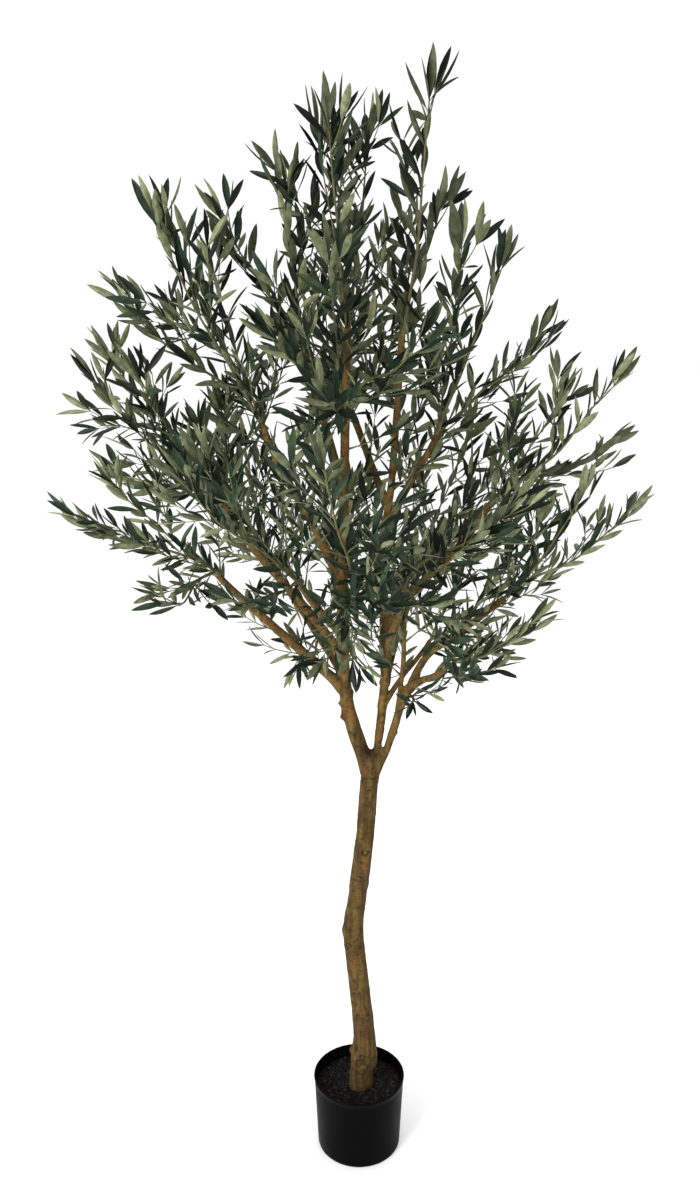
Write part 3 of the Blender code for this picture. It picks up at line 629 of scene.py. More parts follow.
def plan_stems(limbs):
    """Course of each mass's stem, from its bough's tip to the last solid leaf, and that leaf's
    direction and tip."""
    stems = {}
    for bough, (course, _) in limbs.items():
        if bough not in MASSES_ON:
            continue
        tip = course[-1]
        along = directions(course)[-1]
        here = [(n, polar(*row[1:])) for n, row in SPRAYS.items() if row[0] == bough]
        u, v = cross_pair(along)
        turns = sorted((math.atan2((end - tip).dot(v), (end - tip).dot(u)), n, end)
                       for n, end in here)
        first = turns[0][0]
        for i, (_, name, end) in enumerate(turns):
            side = turned_by((u, v), first + 2 * math.pi * i / len(turns))
            start = tip + along * FIT_GAP + side * STEM_SPREAD
            out = (along + side * STEM_FAN + (end - tip).normalized()).normalized()
            aim = ((end - start).normalized() + UP * STEM_ARCH).normalized()
            last = end - aim * (SOLID_LEAF_LENGTH - TIP_LEAF_SINK)
            stems[name] = start, last, out, aim, end
    return stems


def segments(courses):
    """Start points, end points and owner numbers of every straight piece of some courses."""
    starts, ends, owners = [], [], []
    for owner, course in enumerate(courses):
        for a, b in zip(course, course[1:]):
            starts.append(tuple(a))
            ends.append(tuple(b))
            owners.append(owner)
    return np.array(starts), np.array(ends), np.array(owners)


def distances(points, starts, ends):
    """Distance from every point to every segment."""
    p = np.array([tuple(q) for q in points])[:, None, :]
    run = ends - starts
    t = np.clip(((p - starts) * run).sum(2) / (run * run).sum(1), 0, 1)
    return np.linalg.norm(p - (starts + t[..., None] * run), axis=2)


class Space:
    """Decides whether points lie in a mass's own space and clear of every limb."""

    def __init__(self, stems, limbs):
        self.names = list(stems)
        courses = [arched(*stems[n][:3], STEM_ARCH, SOLID_STEM_STEPS) for n in self.names]
        self.stems = segments(courses)
        self.limbs = segments([course for course, _ in limbs.values()])[:2]
        self.feet = {name: course[-1] for name, (course, _) in limbs.items()}
        widths = [radii for _, radii in limbs.values()]
        self.widths = np.array([max(a, b) for r in widths for a, b in zip(r, r[1:])])

    def within(self, name, points):
        """Whether the points keep to the mass's reach and hang no lower than its stem lets them."""
        bough, _, reach, height = SPRAYS[name]
        widest = max(reach, INNER_REACH) + REACH_ROOM
        foot = self.feet[bough]
        ceiling = max(height + FILL_LEVEL, foot.z + DROOP_ROOM)
        foot_reach = math.hypot(foot.x, foot.y)
        for p in points:
            out = math.hypot(p.x, p.y)
            run = max(reach - foot_reach, SHORTEST_RUN)
            share = min(max((out - foot_reach) / run, 0.0), 1.0)
            floor = foot.z + (height + FILL_LEVEL - foot.z) * share - SPRAY_SAG
            if out > widest or p.z > ceiling or p.z < min(floor, height + FILL_LEVEL):
                return False
        return True

    def own(self, name, points):
        """Whether the mass's own stem is the nearest."""
        starts, ends, owners = self.stems
        away = distances(points, starts, ends)
        mine = owners == self.names.index(name)
        return not (away[:, mine].min(1) + TWIG_CLEARANCE > away[:, ~mine].min(1)).any()

    def clear(self, points):
        """Whether the points stand clear of the stem and every bough."""
        return not (distances(points, *self.limbs) < self.widths + TWIG_CLEARANCE).any()


# ---- Growing the twigs and leaves

class Crown:
    """Every twig and leaf: the solids' rule carried to finer twigs within the same reach."""

    def __init__(self, sizes):
        self.sizes = sizes
        self.rng = random.Random(LEAF_SEED)
        limbs = plan_limbs(1)
        base = FILL_LEVEL + FIT_GAP
        trunk = [Vector((x, trunk_sway(h), h + base)) for h, x, *_ in TRUNK_SECTIONS]
        stems = plan_stems(limbs)
        self.space = Space(stems, {"trunk": (trunk, [row[2] for row in TRUNK_SECTIONS]), **limbs})
        self.tubes, self.leaves = [], []
        for name, (start, last, out, aim, end) in stems.items():
            # a real leaf is shorter than a solid's, so the stem runs on to the same furthest tip
            course = arched(start, last, out, STEM_ARCH, STEM_STEPS)
            course.append(end - aim * self.tip_leaf(end))
            self.grow_spray(name, course, STEM_RADII, length_of(course[:-1]))
        for limb, share, *tip in INNER_SPRAYS:
            start, along = place_on(limbs[limb][0], share)
            end = polar(*tip)
            aim = ((end - start).normalized() + UP * STEM_ARCH).normalized()
            out = (along + (end - start).normalized()).normalized()
            last = end - aim * self.tip_leaf(end)
            course = arched(start, last, out, STEM_ARCH, STEM_STEPS)
            self.grow_spray(None, course, INNER_STEM_RADII, length_of(course))
        for name, (course, radii) in limbs.items():
            self.grow_shoots(name, course, radii)

    def tip_leaf(self, end):
        return self.leaf_length(end.z) * STEM_LEAVES[1]

    def rise(self, height):
        """How far up the head a height is, from 0 to 1."""
        foot, reach = HEAD
        return min(max((height - foot) / reach, 0.0), 1.0)

    def tint_at(self, height):
        """A spray's place in the rows of greens, darker towards the top of the head: a painted
        shade.
        """
        varies, least, darker = SPRAY_TINTS
        return max(self.rng.random() * varies + least - darker * self.rise(height) ** 2, 0.0)

    def leaf_length(self, height):
        """Leaves are longer towards the top of the head."""
        sizes = self.sizes
        return sizes.leaf_low + (sizes.leaf_high - sizes.leaf_low) * self.rise(height)

    def grow_spray(self, name, course, radii, solid):
        """A stem with twigs along it that shorten towards its end, and its own leaves."""
        course = wander(course, self.rng.uniform(0, 2 * math.pi), STEM_WANDER, STEM_WAVES)
        end = course[-1]
        leaf = self.tip_leaf(end)
        foot = course[0] - directions(course)[0] * STEM_ROOT
        self.add_tube([foot] + course, radii, STEM_SIDES, "stem")
        total = length_of(course)
        coarser = self.leaf_length(end.z) / self.sizes.leaf_low
        spacing = self.sizes.twig_spacing * coarser ** TWIGS_OPEN
        count = max(FEWEST_TWIGS, round(total / spacing))
        first, last = TWIG_STRETCH
        longest, shortest = TWIG_SHARES
        left, more = TWIG_TAPER
        for number in range(count):
            share = first + (last - first) * number / (count - 1)
            full = solid * (longest + (shortest - longest) * share)
            full += SOLID_LEAF_LENGTH - leaf
            self.add_twig(name, course, share, number, min(full, total * (1 - share) * left + more))
        turn = self.rng.uniform(0, PAIR_TURN)
        self.leaf_up(name, course, STEM_BARE, turn, STEM_LEAVES, STEM_PAIRS)
        aim = directions(course)[-1]
        self.place_leaf(end, aim, aim.orthogonal().normalized(), leaf, self.rng.random())

    def add_twig(self, name, course, share, number, full):
        root, along = place_on(course, share)
        for shrink in TWIG_SHRINKS:
            for attempt in range(TWIG_TRIES):
                turn = number * GOLDEN_TURN + attempt * 360 / TWIG_TRIES
                lean = TWIG_LEAN - TWIG_CLOSES * share + self.either_way(TWIG_LEAN_VARIES)
                out = leaning(along, turn, lean).normalized()
                end = root + (out + UP * TWIG_RISE).normalized() * full * shrink
                test = [root.lerp(end, s) for s in TEST_SHARES]
                if name and not (self.space.within(name, test) and self.space.own(name, test)):
                    continue
                if not self.space.clear(test):
                    continue
                twig = arched(root, end, out, TWIG_ARCH, TWIG_STEPS)
                self.add_tube(twig, TWIG_RADII, TWIG_SIDES, "twig")
                self.leaf_up(name, twig, TWIG_BARE, number * TWIG_TURN, TWIG_LEAVES)
                if full * shrink > FINE_FROM:
                    for fine, share_up in enumerate(FINE_SHARES):
                        self.add_fine(name, twig, share_up, fine + number)
                return

    def add_fine(self, name, course, share, number):
        """A finer twig on a twig, on its free side."""
        root, along = place_on(course, share)
        length = length_of(course) * (1 - share * FINE_SHORTENS) * FINE_LENGTH
        lean = FINE_LEAN + self.either_way(LEAN_VARIES)
        aside = leaning(along, number * GOLDEN_TURN + FREE_SIDE, lean)
        out = (aside + UP * TWIG_RISE).normalized()
        end = root + out * length
        if (not name or self.space.within(name, [end])) and self.space.clear([end]):
            fine = arched(root, end, out, FINE_ARCH, FINE_STEPS)
            self.add_tube(fine, FINE_RADII, FINE_SIDES, "twig")
            self.leaf_up(name, fine, FINE_BARE, number * FINE_TURN, FINE_LEAVES)

    def grow_shoots(self, name, course, radii):
        """Short leafy shoots along a bough, beyond its bare foot."""
        first, last = BOUGH_SHOOTS
        count = round(length_of(course) * (last - first) / self.sizes.shoot_spacing)
        for number in range(count):
            share = first + (last - first) * (number + 0.5) / count
            root, along = place_on(course, share)
            if root.z < SHOOTS_FROM + FILL_LEVEL:
                continue
            turn = number * GOLDEN_TURN + len(self.tubes) * SHOOT_TURN
            out = leaning(along, turn, SHOOT_LEAN + self.either_way(LEAN_VARIES)).normalized()
            length = self.sizes.shoot_length * self.rng.uniform(*SHOOT_LENGTHS)
            end = root + (out + UP * TWIG_RISE).normalized() * length
            test = [root.lerp(end, SHOOT_TEST), end]
            if out.z < SHOOT_DROOP or not self.space.clear(test):
                continue
            shoot = arched(root, end, out, TWIG_ARCH, SHOOT_STEPS)
            self.add_tube(shoot, TWIG_RADII, TWIG_SIDES, "twig")
            self.leaf_up(None, shoot, SHOOT_BARE, number * TWIG_TURN, TWIG_LEAVES)

    def add_tube(self, course, ends, sides, kind):
        """A tube along a course, swollen where it starts."""
        radii = [radius * (1 + ROOT_SWELL * math.exp(-gone / ROOT_SWELL_LENGTH))
                 for radius, gone in zip(tapered(*ends, len(course)), gone_along(course))]
        self.tubes.append((course, radii, sides, kind))

    def either_way(self, most):
        return self.rng.uniform(-most, most)

    def leaf_up(self, name, course, first, turn, sizes, closer=1.0):
        """Pairs of leaves along a course and a close cluster at its end."""
        spacing = self.sizes.pair_spacing * self.leaf_length(course[0].z) / self.sizes.leaf_low
        spacing *= closer
        count = max(1, round(length_of(course) * (1 - first) / spacing))
        base, tip = LEAF_LEANS
        small, large = sizes
        spray = self.tint_at(course[-1].z)
        for number in range(count):
            share = first + (1 - first) * number / count
            root, along = place_on(course, share)
            lean = base + (tip - base) * share
            for side in (0, 180):
                place = root + along * self.rng.uniform(0, PAIR_SHIFT) * spacing
                self.add_leaf(name, place, along, turn + number * PAIR_TURN + side,
                              lean + self.either_way(PAIR_VARIES),
                              small + (large - small) * share, spray)
        root, along = place_on(course, 1.0)
        for lean, around in CLUSTER:
            self.add_leaf(name, root - along * TIP_LEAF_SINK, along, turn + around,
                          lean + self.either_way(CLUSTER_VARIES), large, spray)

    def add_leaf(self, name, root, along, turn, lean, scale, spray):
        length = self.leaf_length(root.z) * scale * self.rng.uniform(*LEAF_LENGTHS)
        for attempt in range(LEAF_TRIES):
            around = turn + self.either_way(TURN_VARIES) + attempt * TRY_TURN
            direction = leaning(along, around, lean).normalized()
            tip = root + direction * length
            if name and not self.space.within(name, [tip]):
                continue
            if not self.space.clear([root.lerp(tip, 0.5), tip]):
                continue
            # the upper face looks up the twig, then the leaf turns about its own length
            facing = (along - direction * along.dot(direction)).normalized()
            over = self.rng.random() < TURNED_OVER * self.rise(root.z) ** 2
            roll = math.radians(self.either_way(LEAF_ROLL) + 180 * over)
            normal = turned_by((facing, direction.cross(facing)), roll)
            self.place_leaf(root, direction, normal, length, spray)
            return

    def place_leaf(self, root, direction, normal, length, spray):
        width = length * self.sizes.leaf_slenderness * self.rng.uniform(*LEAF_WIDTHS)
        bend = self.rng.uniform(*LEAF_BENDS)
        twist = math.radians(self.either_way(LEAF_TWIST))
        self.leaves.append((root, direction, normal, length, width, bend, twist, spray,
                            self.rng.random()))


def crown_of(context):
    """The grown crown, made once for the twigs and the leaves."""
    if "crown" not in crown_of.kept:
        crown_of.kept["crown"] = Crown(context.scene.olive_sizes)
    return crown_of.kept["crown"]


crown_of.kept = {}


# ---- Meshes

def mesh_from(name, points, faces):
    mesh = bpy.data.meshes.new(name)
    mesh.from_pydata([tuple(p) for p in points], [], faces)
    body = bmesh.new()
    body.from_mesh(mesh)
    bmesh.ops.recalc_face_normals(body, faces=body.faces)
    body.to_mesh(mesh)
    body.free()
    return mesh


def tinted_mesh(name, points, faces, slots):
    """A mesh with the number of each face's material."""
    mesh = bpy.data.meshes.new(name)
    mesh.from_pydata([tuple(p) for p in points], [], faces)
    mesh.polygons.foreach_set("material_index", slots)
    return mesh


def edge_ends(mesh):
    """The numbers of the two points of every edge."""
    ends = np.empty(len(mesh.edges) * 2, np.int32)
    mesh.edges.foreach_get("vertices", ends)
    return ends.reshape(-1, 2)


def show(name, mesh, replaced, materials, smooth=True):
    """Link a mesh as a piece of the tree; the caps that a level cut leaves stay flat."""
    obj = bpy.data.objects.new(name, mesh)
    bpy.context.scene.collection.objects.link(obj)
    for material in materials:
        mesh.materials.append(material)
    mesh.polygons.foreach_set("use_smooth", [smooth and face.loop_total < CAP_EDGES
                                             for face in mesh.polygons])
    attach(obj, "root")
    if replaced:
        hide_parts(*replaced)
    return obj


def closed_faces(rings, sides, offset=0):
    """Faces between rings of points and over both ends, counted from offset."""
    faces = []
    for ring in range(rings - 1):
        for k in range(sides):
            a = offset + ring * sides + k
            b = offset + ring * sides + (k + 1) % sides
            faces.append((a, b, b + sides, a + sides))
    faces.append(tuple(range(offset + sides - 1, offset - 1, -1)))
    top = offset + (rings - 1) * sides
    faces.append(tuple(range(top, top + sides)))
    return faces


def tube_parts(course, radii, sides, offset):
    """Points and faces of a closed tapering tube, its faces counted from offset."""
    points = [centre + turned_by(pair, 2 * math.pi * k / sides) * radius
              for centre, radius, pair in zip(course, radii, frames(course))
              for k in range(sides)]
    return points, closed_faces(len(course), sides, offset)


def turned(name, profile, sides):
    """Solid of revolution; the profile starts and ends on the axis."""
    points, faces = [Vector((0, 0, profile[0][1]))], []
    for radius, height in profile[1:-1]:
        for k in range(sides):
            turn = 2 * math.pi * k / sides
            points.append(Vector((radius * math.cos(turn), radius * math.sin(turn), height)))
    points.append(Vector((0, 0, profile[-1][1])))
    rings, last = len(profile) - 2, len(points) - 1
    for k in range(sides):
        n = (k + 1) % sides
        faces.append((0, 1 + n, 1 + k))
        for ring in range(rings - 1):
            a, b = 1 + ring * sides + k, 1 + ring * sides + n
            faces.append((a, b, b + sides, a + sides))
        top = 1 + (rings - 1) * sides
        faces.append((top + k, top + n, last))
    return mesh_from(name, points, faces)


def smoothing_loss(radius):
    """How far the smoothing of the fused skin draws a limb of this radius in."""
    return SMOOTH_TURNS * SMOOTH_FACTOR * VOXEL ** 2 / (4 * radius)


def trunk_skin():
    """Course, radii and skin of the stem, with its root flare."""
    base = FILL_LEVEL + FIT_GAP
    top = TRUNK_SECTIONS[-1][0]
    count = round(top / STEM_STEP)
    points, course, radii = [], [], []
    for ring in range(count + 1):
        height = top * ring / count
        x, half, deep = trunk_size(height)
        deep = min(deep, FORK_DEPTH) if height > FORK_FROM else deep
        centre = Vector((x, trunk_sway(height), height + base))
        course.append(centre)
        radii.append(half)
        fade = math.exp(-height / FLARE_HEIGHT)
        rise = min(max((height - FORK_FROM) / (top - FORK_FROM), 0.0), 1.0)
        for k in range(SKIN_SIDES):
            turn = 2 * math.pi * k / SKIN_SIDES
            swell = 1 + FLARE_DEPTH * fade * math.cos(FLARE_LOBES * turn)
            thin = 1 - FORK_THINS * rise * (1 + math.cos(turn)) / 2
            loss = smoothing_loss(half)
            points.append(centre + Vector((math.cos(turn) * (half * swell + loss),
                                           math.sin(turn) * (deep * swell + loss) * thin, 0)))
    return course, radii, points, closed_faces(count + 1, SKIN_SIDES)


def fused_skin(limbs):
    """One closed skin of the stem and boughs, smoothed so that limbs flow into each other."""
    course, radii, points, faces = trunk_skin()
    axes = {"trunk": (course, radii)}
    for name, (course, radii) in limbs.items():
        if name in LEADERS:
            inward = Vector((trunk_size(LEADERS_MEET)[0], 0, course[0].z - LEADER_ROOT))
            course = [course[0].lerp(inward, share) for share in ROOT_POINTS] + course
            radii = [radii[0]] * len(ROOT_POINTS) + radii
            wide = [r + smoothing_loss(r) for r in radii]
        else:
            wide = []
            for radius, gone in zip(radii, gone_along(course)):
                swell = COLLAR_SWELL * math.exp(-max(0.0, gone - radii[0]) / COLLAR_LENGTH)
                wide.append(radius * (1 + swell) + smoothing_loss(radius))
        axes[name] = course, radii
        more, sides = tube_parts(course, wide, BOUGH_SIDES, len(points))
        points += more
        faces += sides
    mesh = mesh_from("bark", points, faces)
    obj = bpy.data.objects.new("bark", mesh)
    bpy.context.scene.collection.objects.link(obj)
    remesh = obj.modifiers.new("fuse", "REMESH")
    remesh.mode = "VOXEL"
    remesh.voxel_size = VOXEL
    soften = obj.modifiers.new("soften", "SMOOTH")
    soften.iterations = SMOOTH_TURNS
    soften.factor = SMOOTH_FACTOR
    graph = bpy.context.evaluated_depsgraph_get()
    fused = bpy.data.meshes.new_from_object(obj.evaluated_get(graph))
    bpy.data.objects.remove(obj)
    bpy.data.meshes.remove(mesh)
    blend_fork(fused)
    return fused, axes


def blend_fork(mesh):
    """More smoothing where the leaders part, fading out above and below."""
    count = len(mesh.vertices)
    places = np.empty(count * 3)
    mesh.vertices.foreach_get("co", places)
    places = places.reshape(-1, 3)
    a, b = edge_ends(mesh).T
    gap = (places[:, 2] - FORK_MIDDLE - FILL_LEVEL) / FORK_REACH
    weight = FORK_FACTOR * np.exp(-gap ** 4)[:, None]
    near = (gap[a] ** 4 < FORK_FADED) | (gap[b] ** 4 < FORK_FADED)
    a, b = a[near], b[near]
    shared = np.maximum(np.bincount(a, minlength=count) + np.bincount(b, minlength=count), 1)
    for _ in range(FORK_TURNS):
        total = np.stack([np.bincount(a, places[b, k], count) + np.bincount(b, places[a, k], count)
                          for k in range(3)], 1)
        places += (total / shared[:, None] - places) * weight * (shared > 1)[:, None]
    mesh.vertices.foreach_set("co", places.ravel())
    mesh.update()


def plan_knobs(axes):
    """Places, rises and spreads of the knobs on the bark."""
    rng = random.Random(SEED + 1)
    knobs = []
    for limb, height, azimuth, rise, spread in NAMED_KNOBS:
        course, radii = axes[limb]
        centre = at_height(course, height + FILL_LEVEL)
        radius = radii[min(range(len(course)), key=lambda i: abs(course[i].z - centre.z))]
        turn = math.radians(azimuth)
        away = Vector((math.cos(turn), math.sin(turn), 0))
        knobs.append((centre + away * radius, away, rise, spread))
    for limb, (course, radii) in axes.items():
        if limb == "trunk":
            continue
        for _ in range(SEEDED_KNOBS):
            share = rng.uniform(*KNOB_PLACES)
            centre, along = place_on(course, share)
            away = turned_by(cross_pair(along), rng.uniform(0, 2 * math.pi))
            radius = radii[int(share * (len(radii) - 1))]
            knobs.append((centre + away * radius, away, radius * rng.uniform(*KNOB_RISES),
                          radius * rng.uniform(*KNOB_SPREADS)))
    return knobs


def near_tree(places):
    tree = KDTree(len(places))
    for i, place in enumerate(places):
        tree.insert(place, i)
    tree.balance()
    return tree


def arc_gap(side, up, radius, first, last):
    """Distance from a place to an arc round the origin."""
    if (math.degrees(math.atan2(up, side)) - first) % 360 <= last - first:
        return abs(math.hypot(side, up) - radius)
    ends = [(radius * math.cos(math.radians(turn)), radius * math.sin(math.radians(turn)))
            for turn in (first, last)]
    return min(math.hypot(side - x, up - y) for x, y in ends)


def stem_marks(point, height):
    """Push and darkness of the foot's swelling, the sleeve, the scars and the stem's rings; the
    darkness is painted shade in their grooves and under the sleeve's edge.
    """
    x, half, _ = trunk_size(max(height, 0.0))
    away = Vector((point.x - x, point.y - trunk_sway(height), 0)).normalized()
    around = math.degrees(math.atan2(away.y, away.x))
    gap = height - SLEEVE_TOP - SLEEVE_WAVE * noise.noise(Vector((away.x * 2, away.y * 2, 7)))
    inside = 1 / (1 + math.exp(max(-60.0, min(gap / SLEEVE_EDGE, 60.0))))
    middle, reach, rise = FOOT_SWELL
    swell = rise * math.exp(-((height - middle) / reach) ** 2)
    push = away * (swell * (1 - inside) - SLEEVE_STEP * inside)
    push.x += SLEEVE_OFFSET * inside
    # painted shade just under the sleeve's edge
    darkest, below, wide = SLEEVE_PAINTED_SHADE
    dark = darkest * math.exp(-((gap + below) / wide) ** 2)
    for scar_height, azimuth, radius, first, last in SCAR_CURLS:
        if abs(height - scar_height) > SCAR_REACH:
            continue
        side = math.radians((around - azimuth + 180) % 360 - 180) * (half + swell)
        gap = arc_gap(side, height - scar_height, radius, first, last)
        gap += SCAR_RAGGED * noise.noise(point / SCAR_RAGS)
        out, lip, wide = SCAR_LIP
        outside = math.hypot(side, height - scar_height) > radius
        groove = math.exp(-(gap / SCAR_WIDTH) ** 2)
        push -= away * SCAR_DEPTH * groove
        if outside:
            push += away * lip * math.exp(-((gap - out) / wide) ** 2)
        # painted shade in the scar's groove
        dark = max(dark, groove)
    for ring in STEM_RINGS:
        wave = RING_WAVE * noise.noise(Vector((away.x * 1.5, away.y * 1.5, ring * 90)))
        groove = math.exp(-((height - ring - wave) / RING_WIDTH) ** 2)
        uneven = abs(noise.noise(Vector((away.x, away.y, ring * 50))))
        groove *= RING_FAINTEST + (1 - RING_FAINTEST) * min(1.0, 1.4 * uneven + 0.4)
        push -= away * RING_DEPTH * groove
        # painted shade in the ring's groove
        dark = max(dark, RING_PAINTED_SHADE * groove)
    return push, dark


def roughen(mesh, axes):
    """Bark relief: lumps, wrinkles round the limb, pits, knobs and the stem's marks.  How deep
    each place lies in them is kept with the mesh, for the painted shade in those hollows."""
    places = [(point, radius) for course, radii in axes.values()
              for point, radius in zip(course, radii)]
    nearest = near_tree([point for point, _ in places])
    knobs = plan_knobs(axes)
    near_knobs = near_tree([knob[0] for knob in knobs])
    widest = max(knob[3] for knob in knobs) * KNOB_REACH
    broad, deep = LUMPS
    long, high, crease = WRINKLES
    finer, shallower = FINE_WRINKLES
    pit_size, rare, pit_depth = PITS
    stem_top = TRUNK_SECTIONS[-1][0] + FILL_LEVEL
    # stain here is the reach of the painted shade in the crotch
    crotch, (stain, dent) = Vector(CROTCH), CROTCH_REACH
    moved, hollows = [], []
    for vert in mesh.vertices:
        point, normal = vert.co, vert.normal
        size = min(places[nearest.find(point)[1]][1] / FULL_RELIEF, 1.0)
        lumps = noise.fractal(point / broad, 1.0, 2.1, 3) * deep
        squeezed = Vector((point.x / long, point.y / long, point.z / high))
        folds = abs(noise.noise(squeezed))
        fine = noise.noise(squeezed * finer)
        pits = max(0.0, noise.noise(point / pit_size) - rare)
        shift = normal * (lumps + (0.25 - folds) * 2 * crease + fine * crease * shallower
                          - pits * pit_depth) * (THIN_RELIEF + (1 - THIN_RELIEF) * size)
        # painted shade in the pits
        dark = min(pits * PIT_PAINTED_SHADE, DARKEST_PIT_SHADE)
        for _, index, gap in near_knobs.find_range(point, widest):
            _, away, rise, spread = knobs[index]
            shift += away * rise * math.exp(-(gap / spread) ** 2)
            # painted shade in a ring round the knob's foot
            ring = (gap - 1.5 * spread) / (0.5 * spread)
            dark = max(dark, KNOB_PAINTED_SHADE * math.exp(-ring ** 2))
        if point.z < stem_top + MARKS_OVER_STEM:
            more, mark = stem_marks(point, point.z - FILL_LEVEL)
            shift += more
            dark = max(dark, mark)
        if point.z > stem_top - CROTCH_BELOW_TOP:
            # the crotch's dent, with painted shade in it
            gap = (point - crotch).length
            shift -= normal * CROTCH_DENT * math.exp(-(gap / dent) ** 2)
            dark = max(dark, CROTCH_PAINTED_SHADE * math.exp(-(gap / stain) ** 4))
        moved.append(point + shift)
        hollows.append(dark)
    mesh.vertices.foreach_set("co", [c for point in moved for c in point])
    # the depth kept here drives the bark's painted shade in its hollows
    mesh.attributes.new("hollow", "FLOAT", "POINT").data.foreach_set("value", hollows)
    mesh.update()


def length_between(mesh, bottom, top):
    """A copy of a closed mesh from one height to another, cut level there and closed again."""
    body = bmesh.new()
    body.from_mesh(mesh)
    for height, above in ((bottom, True), (top, False)):
        if height is None:
            continue
        geom = list(body.verts) + list(body.edges) + list(body.faces)
        cut = bmesh.ops.bisect_plane(body, geom=geom, plane_co=(0, 0, height),
                                     plane_no=(0, 0, 1), clear_inner=above, clear_outer=not above)
        edges = [item for item in cut["geom_cut"] if isinstance(item, bmesh.types.BMEdge)]
        bmesh.ops.holes_fill(body, edges=edges, sides=0)
    result = bpy.data.meshes.new(mesh.name)
    body.to_mesh(result)
    body.free()
    return result


def leaf_template():
    """A leaf's corners, as shares along and across it and the keel's share; its faces, and which
    of them are the under side.  Each station has left edge, midrib, right edge and keel."""
    corners, faces, lower = [], [], []
    for along, half in LEAF_OUTLINE[:-1]:
        corners += [(along, -half, 0), (along, 0.0, 0), (along, half, 0), (along, 0.0, 1)]
    corners.append((LEAF_OUTLINE[-1][0], 0.0, 0))
    tip = len(corners) - 1
    spans = len(LEAF_OUTLINE) - 2
    for i in range(spans):
        a, b = i * 4, i * 4 + 4
        # both sides share their diagonals, so that a twisted leaf never cuts itself
        faces += [(a, a + 1, b), (a + 1, b + 1, b), (a + 1, a + 2, b + 2), (a + 1, b + 2, b + 1),
                  (a + 3, a, b), (a + 3, b, b + 3), (a + 2, a + 3, b + 2), (a + 3, b + 3, b + 2)]
        lower += [False] * 4 + [True] * 4
    a = spans * 4
    faces += [(a, a + 1, tip), (a + 1, a + 2, tip), (a + 3, a, tip), (a + 2, a + 3, tip)]
    lower += [False, False, True, True]
    faces.append((0, 3, 2, 1))
    lower.append(True)
    return corners, faces, lower


def leaves_mesh(name, leaves):
    """All the leaves of one piece as one mesh, upper and under faces on their own colours."""
    corners, faces, lower = leaf_template()
    points, all_faces, slots = [], [], []
    for root, direction, normal, length, width, bend, twist, spray, own in leaves:
        across = direction.cross(normal)
        offset = len(points)
        for along, side, keel in corners:
            turn = twist * along
            flat = across * math.cos(turn) + normal * math.sin(turn)
            lift = normal * math.cos(turn) - across * math.sin(turn)
            rise = (abs(side) * width / 2 * LEAF_FOLD
                    - LEAF_THICKNESS * keel * (1 - LEAF_THINS * along))
            points.append(root + direction * along * length + flat * side * width / 2
                          + lift * rise - normal * bend * length * along * along)
        # most leaves of a spray share its tint
        tint = spray if own < SPRAY_SHARE else (own - SPRAY_SHARE) / (1 - SPRAY_SHARE)
        top = min(int(tint * len(TOP_GREENS)), len(TOP_GREENS) - 1)
        under = len(TOP_GREENS) + min(int(tint * len(UNDER_GREENS)), len(UNDER_GREENS) - 1)
        for face, is_lower in zip(faces, lower):
            all_faces.append(tuple(offset + k for k in face))
            slots.append(under if is_lower else top)
    mesh = tinted_mesh(name, points, all_faces, slots)
    # the outline and the midrib stay crisp
    each = len(corners)
    crisp = np.zeros((each, each), bool)
    tip = each - 1
    for i in range(len(LEAF_OUTLINE) - 1):
        a = i * 4
        for k in range(4):
            b = a + 4 + k if i < len(LEAF_OUTLINE) - 2 else tip
            crisp[a + k, b] = crisp[b, a + k] = True
    a, b = edge_ends(mesh).T % each
    mesh.edges.foreach_set("use_edge_sharp", crisp[a, b])
    return mesh


# ---- Materials

def add_node(tree, kind, values=None, links=None, stops=(), **settings):
    """One node with its settings, socket values, links and colour stops."""
    node = tree.nodes.new("ShaderNode" + kind)
    for name, value in settings.items():
        setattr(node, name, value)
    for name, value in (values or {}).items():
        node.inputs[name].default_value = value
    for name, socket in (links or {}).items():
        tree.links.new(socket, node.inputs[name])
    for number, (place, colour) in enumerate(stops):
        if number > 1:
            node.color_ramp.elements.new(place)
        element = node.color_ramp.elements[number]
        element.position, element.color = place, colour
    return node


def new_material(name, **values):
    """A material with these values on its shader's own sockets."""
    material = bpy.data.materials.new(name)
    material.use_nodes = True
    tree = material.node_tree
    shader = tree.nodes["Principled BSDF"]
    for socket, value in values.items():
        shader.inputs[socket.replace("_", " ")].default_value = value
    return material, tree, shader


def per_mm(millimetres):
    """Texture scale whose features are about this size."""
    return 1000.0 / millimetres


def shaded(colour, factor):
    return [min(1.0, c * factor) for c in colour[:3]] + [1.0]


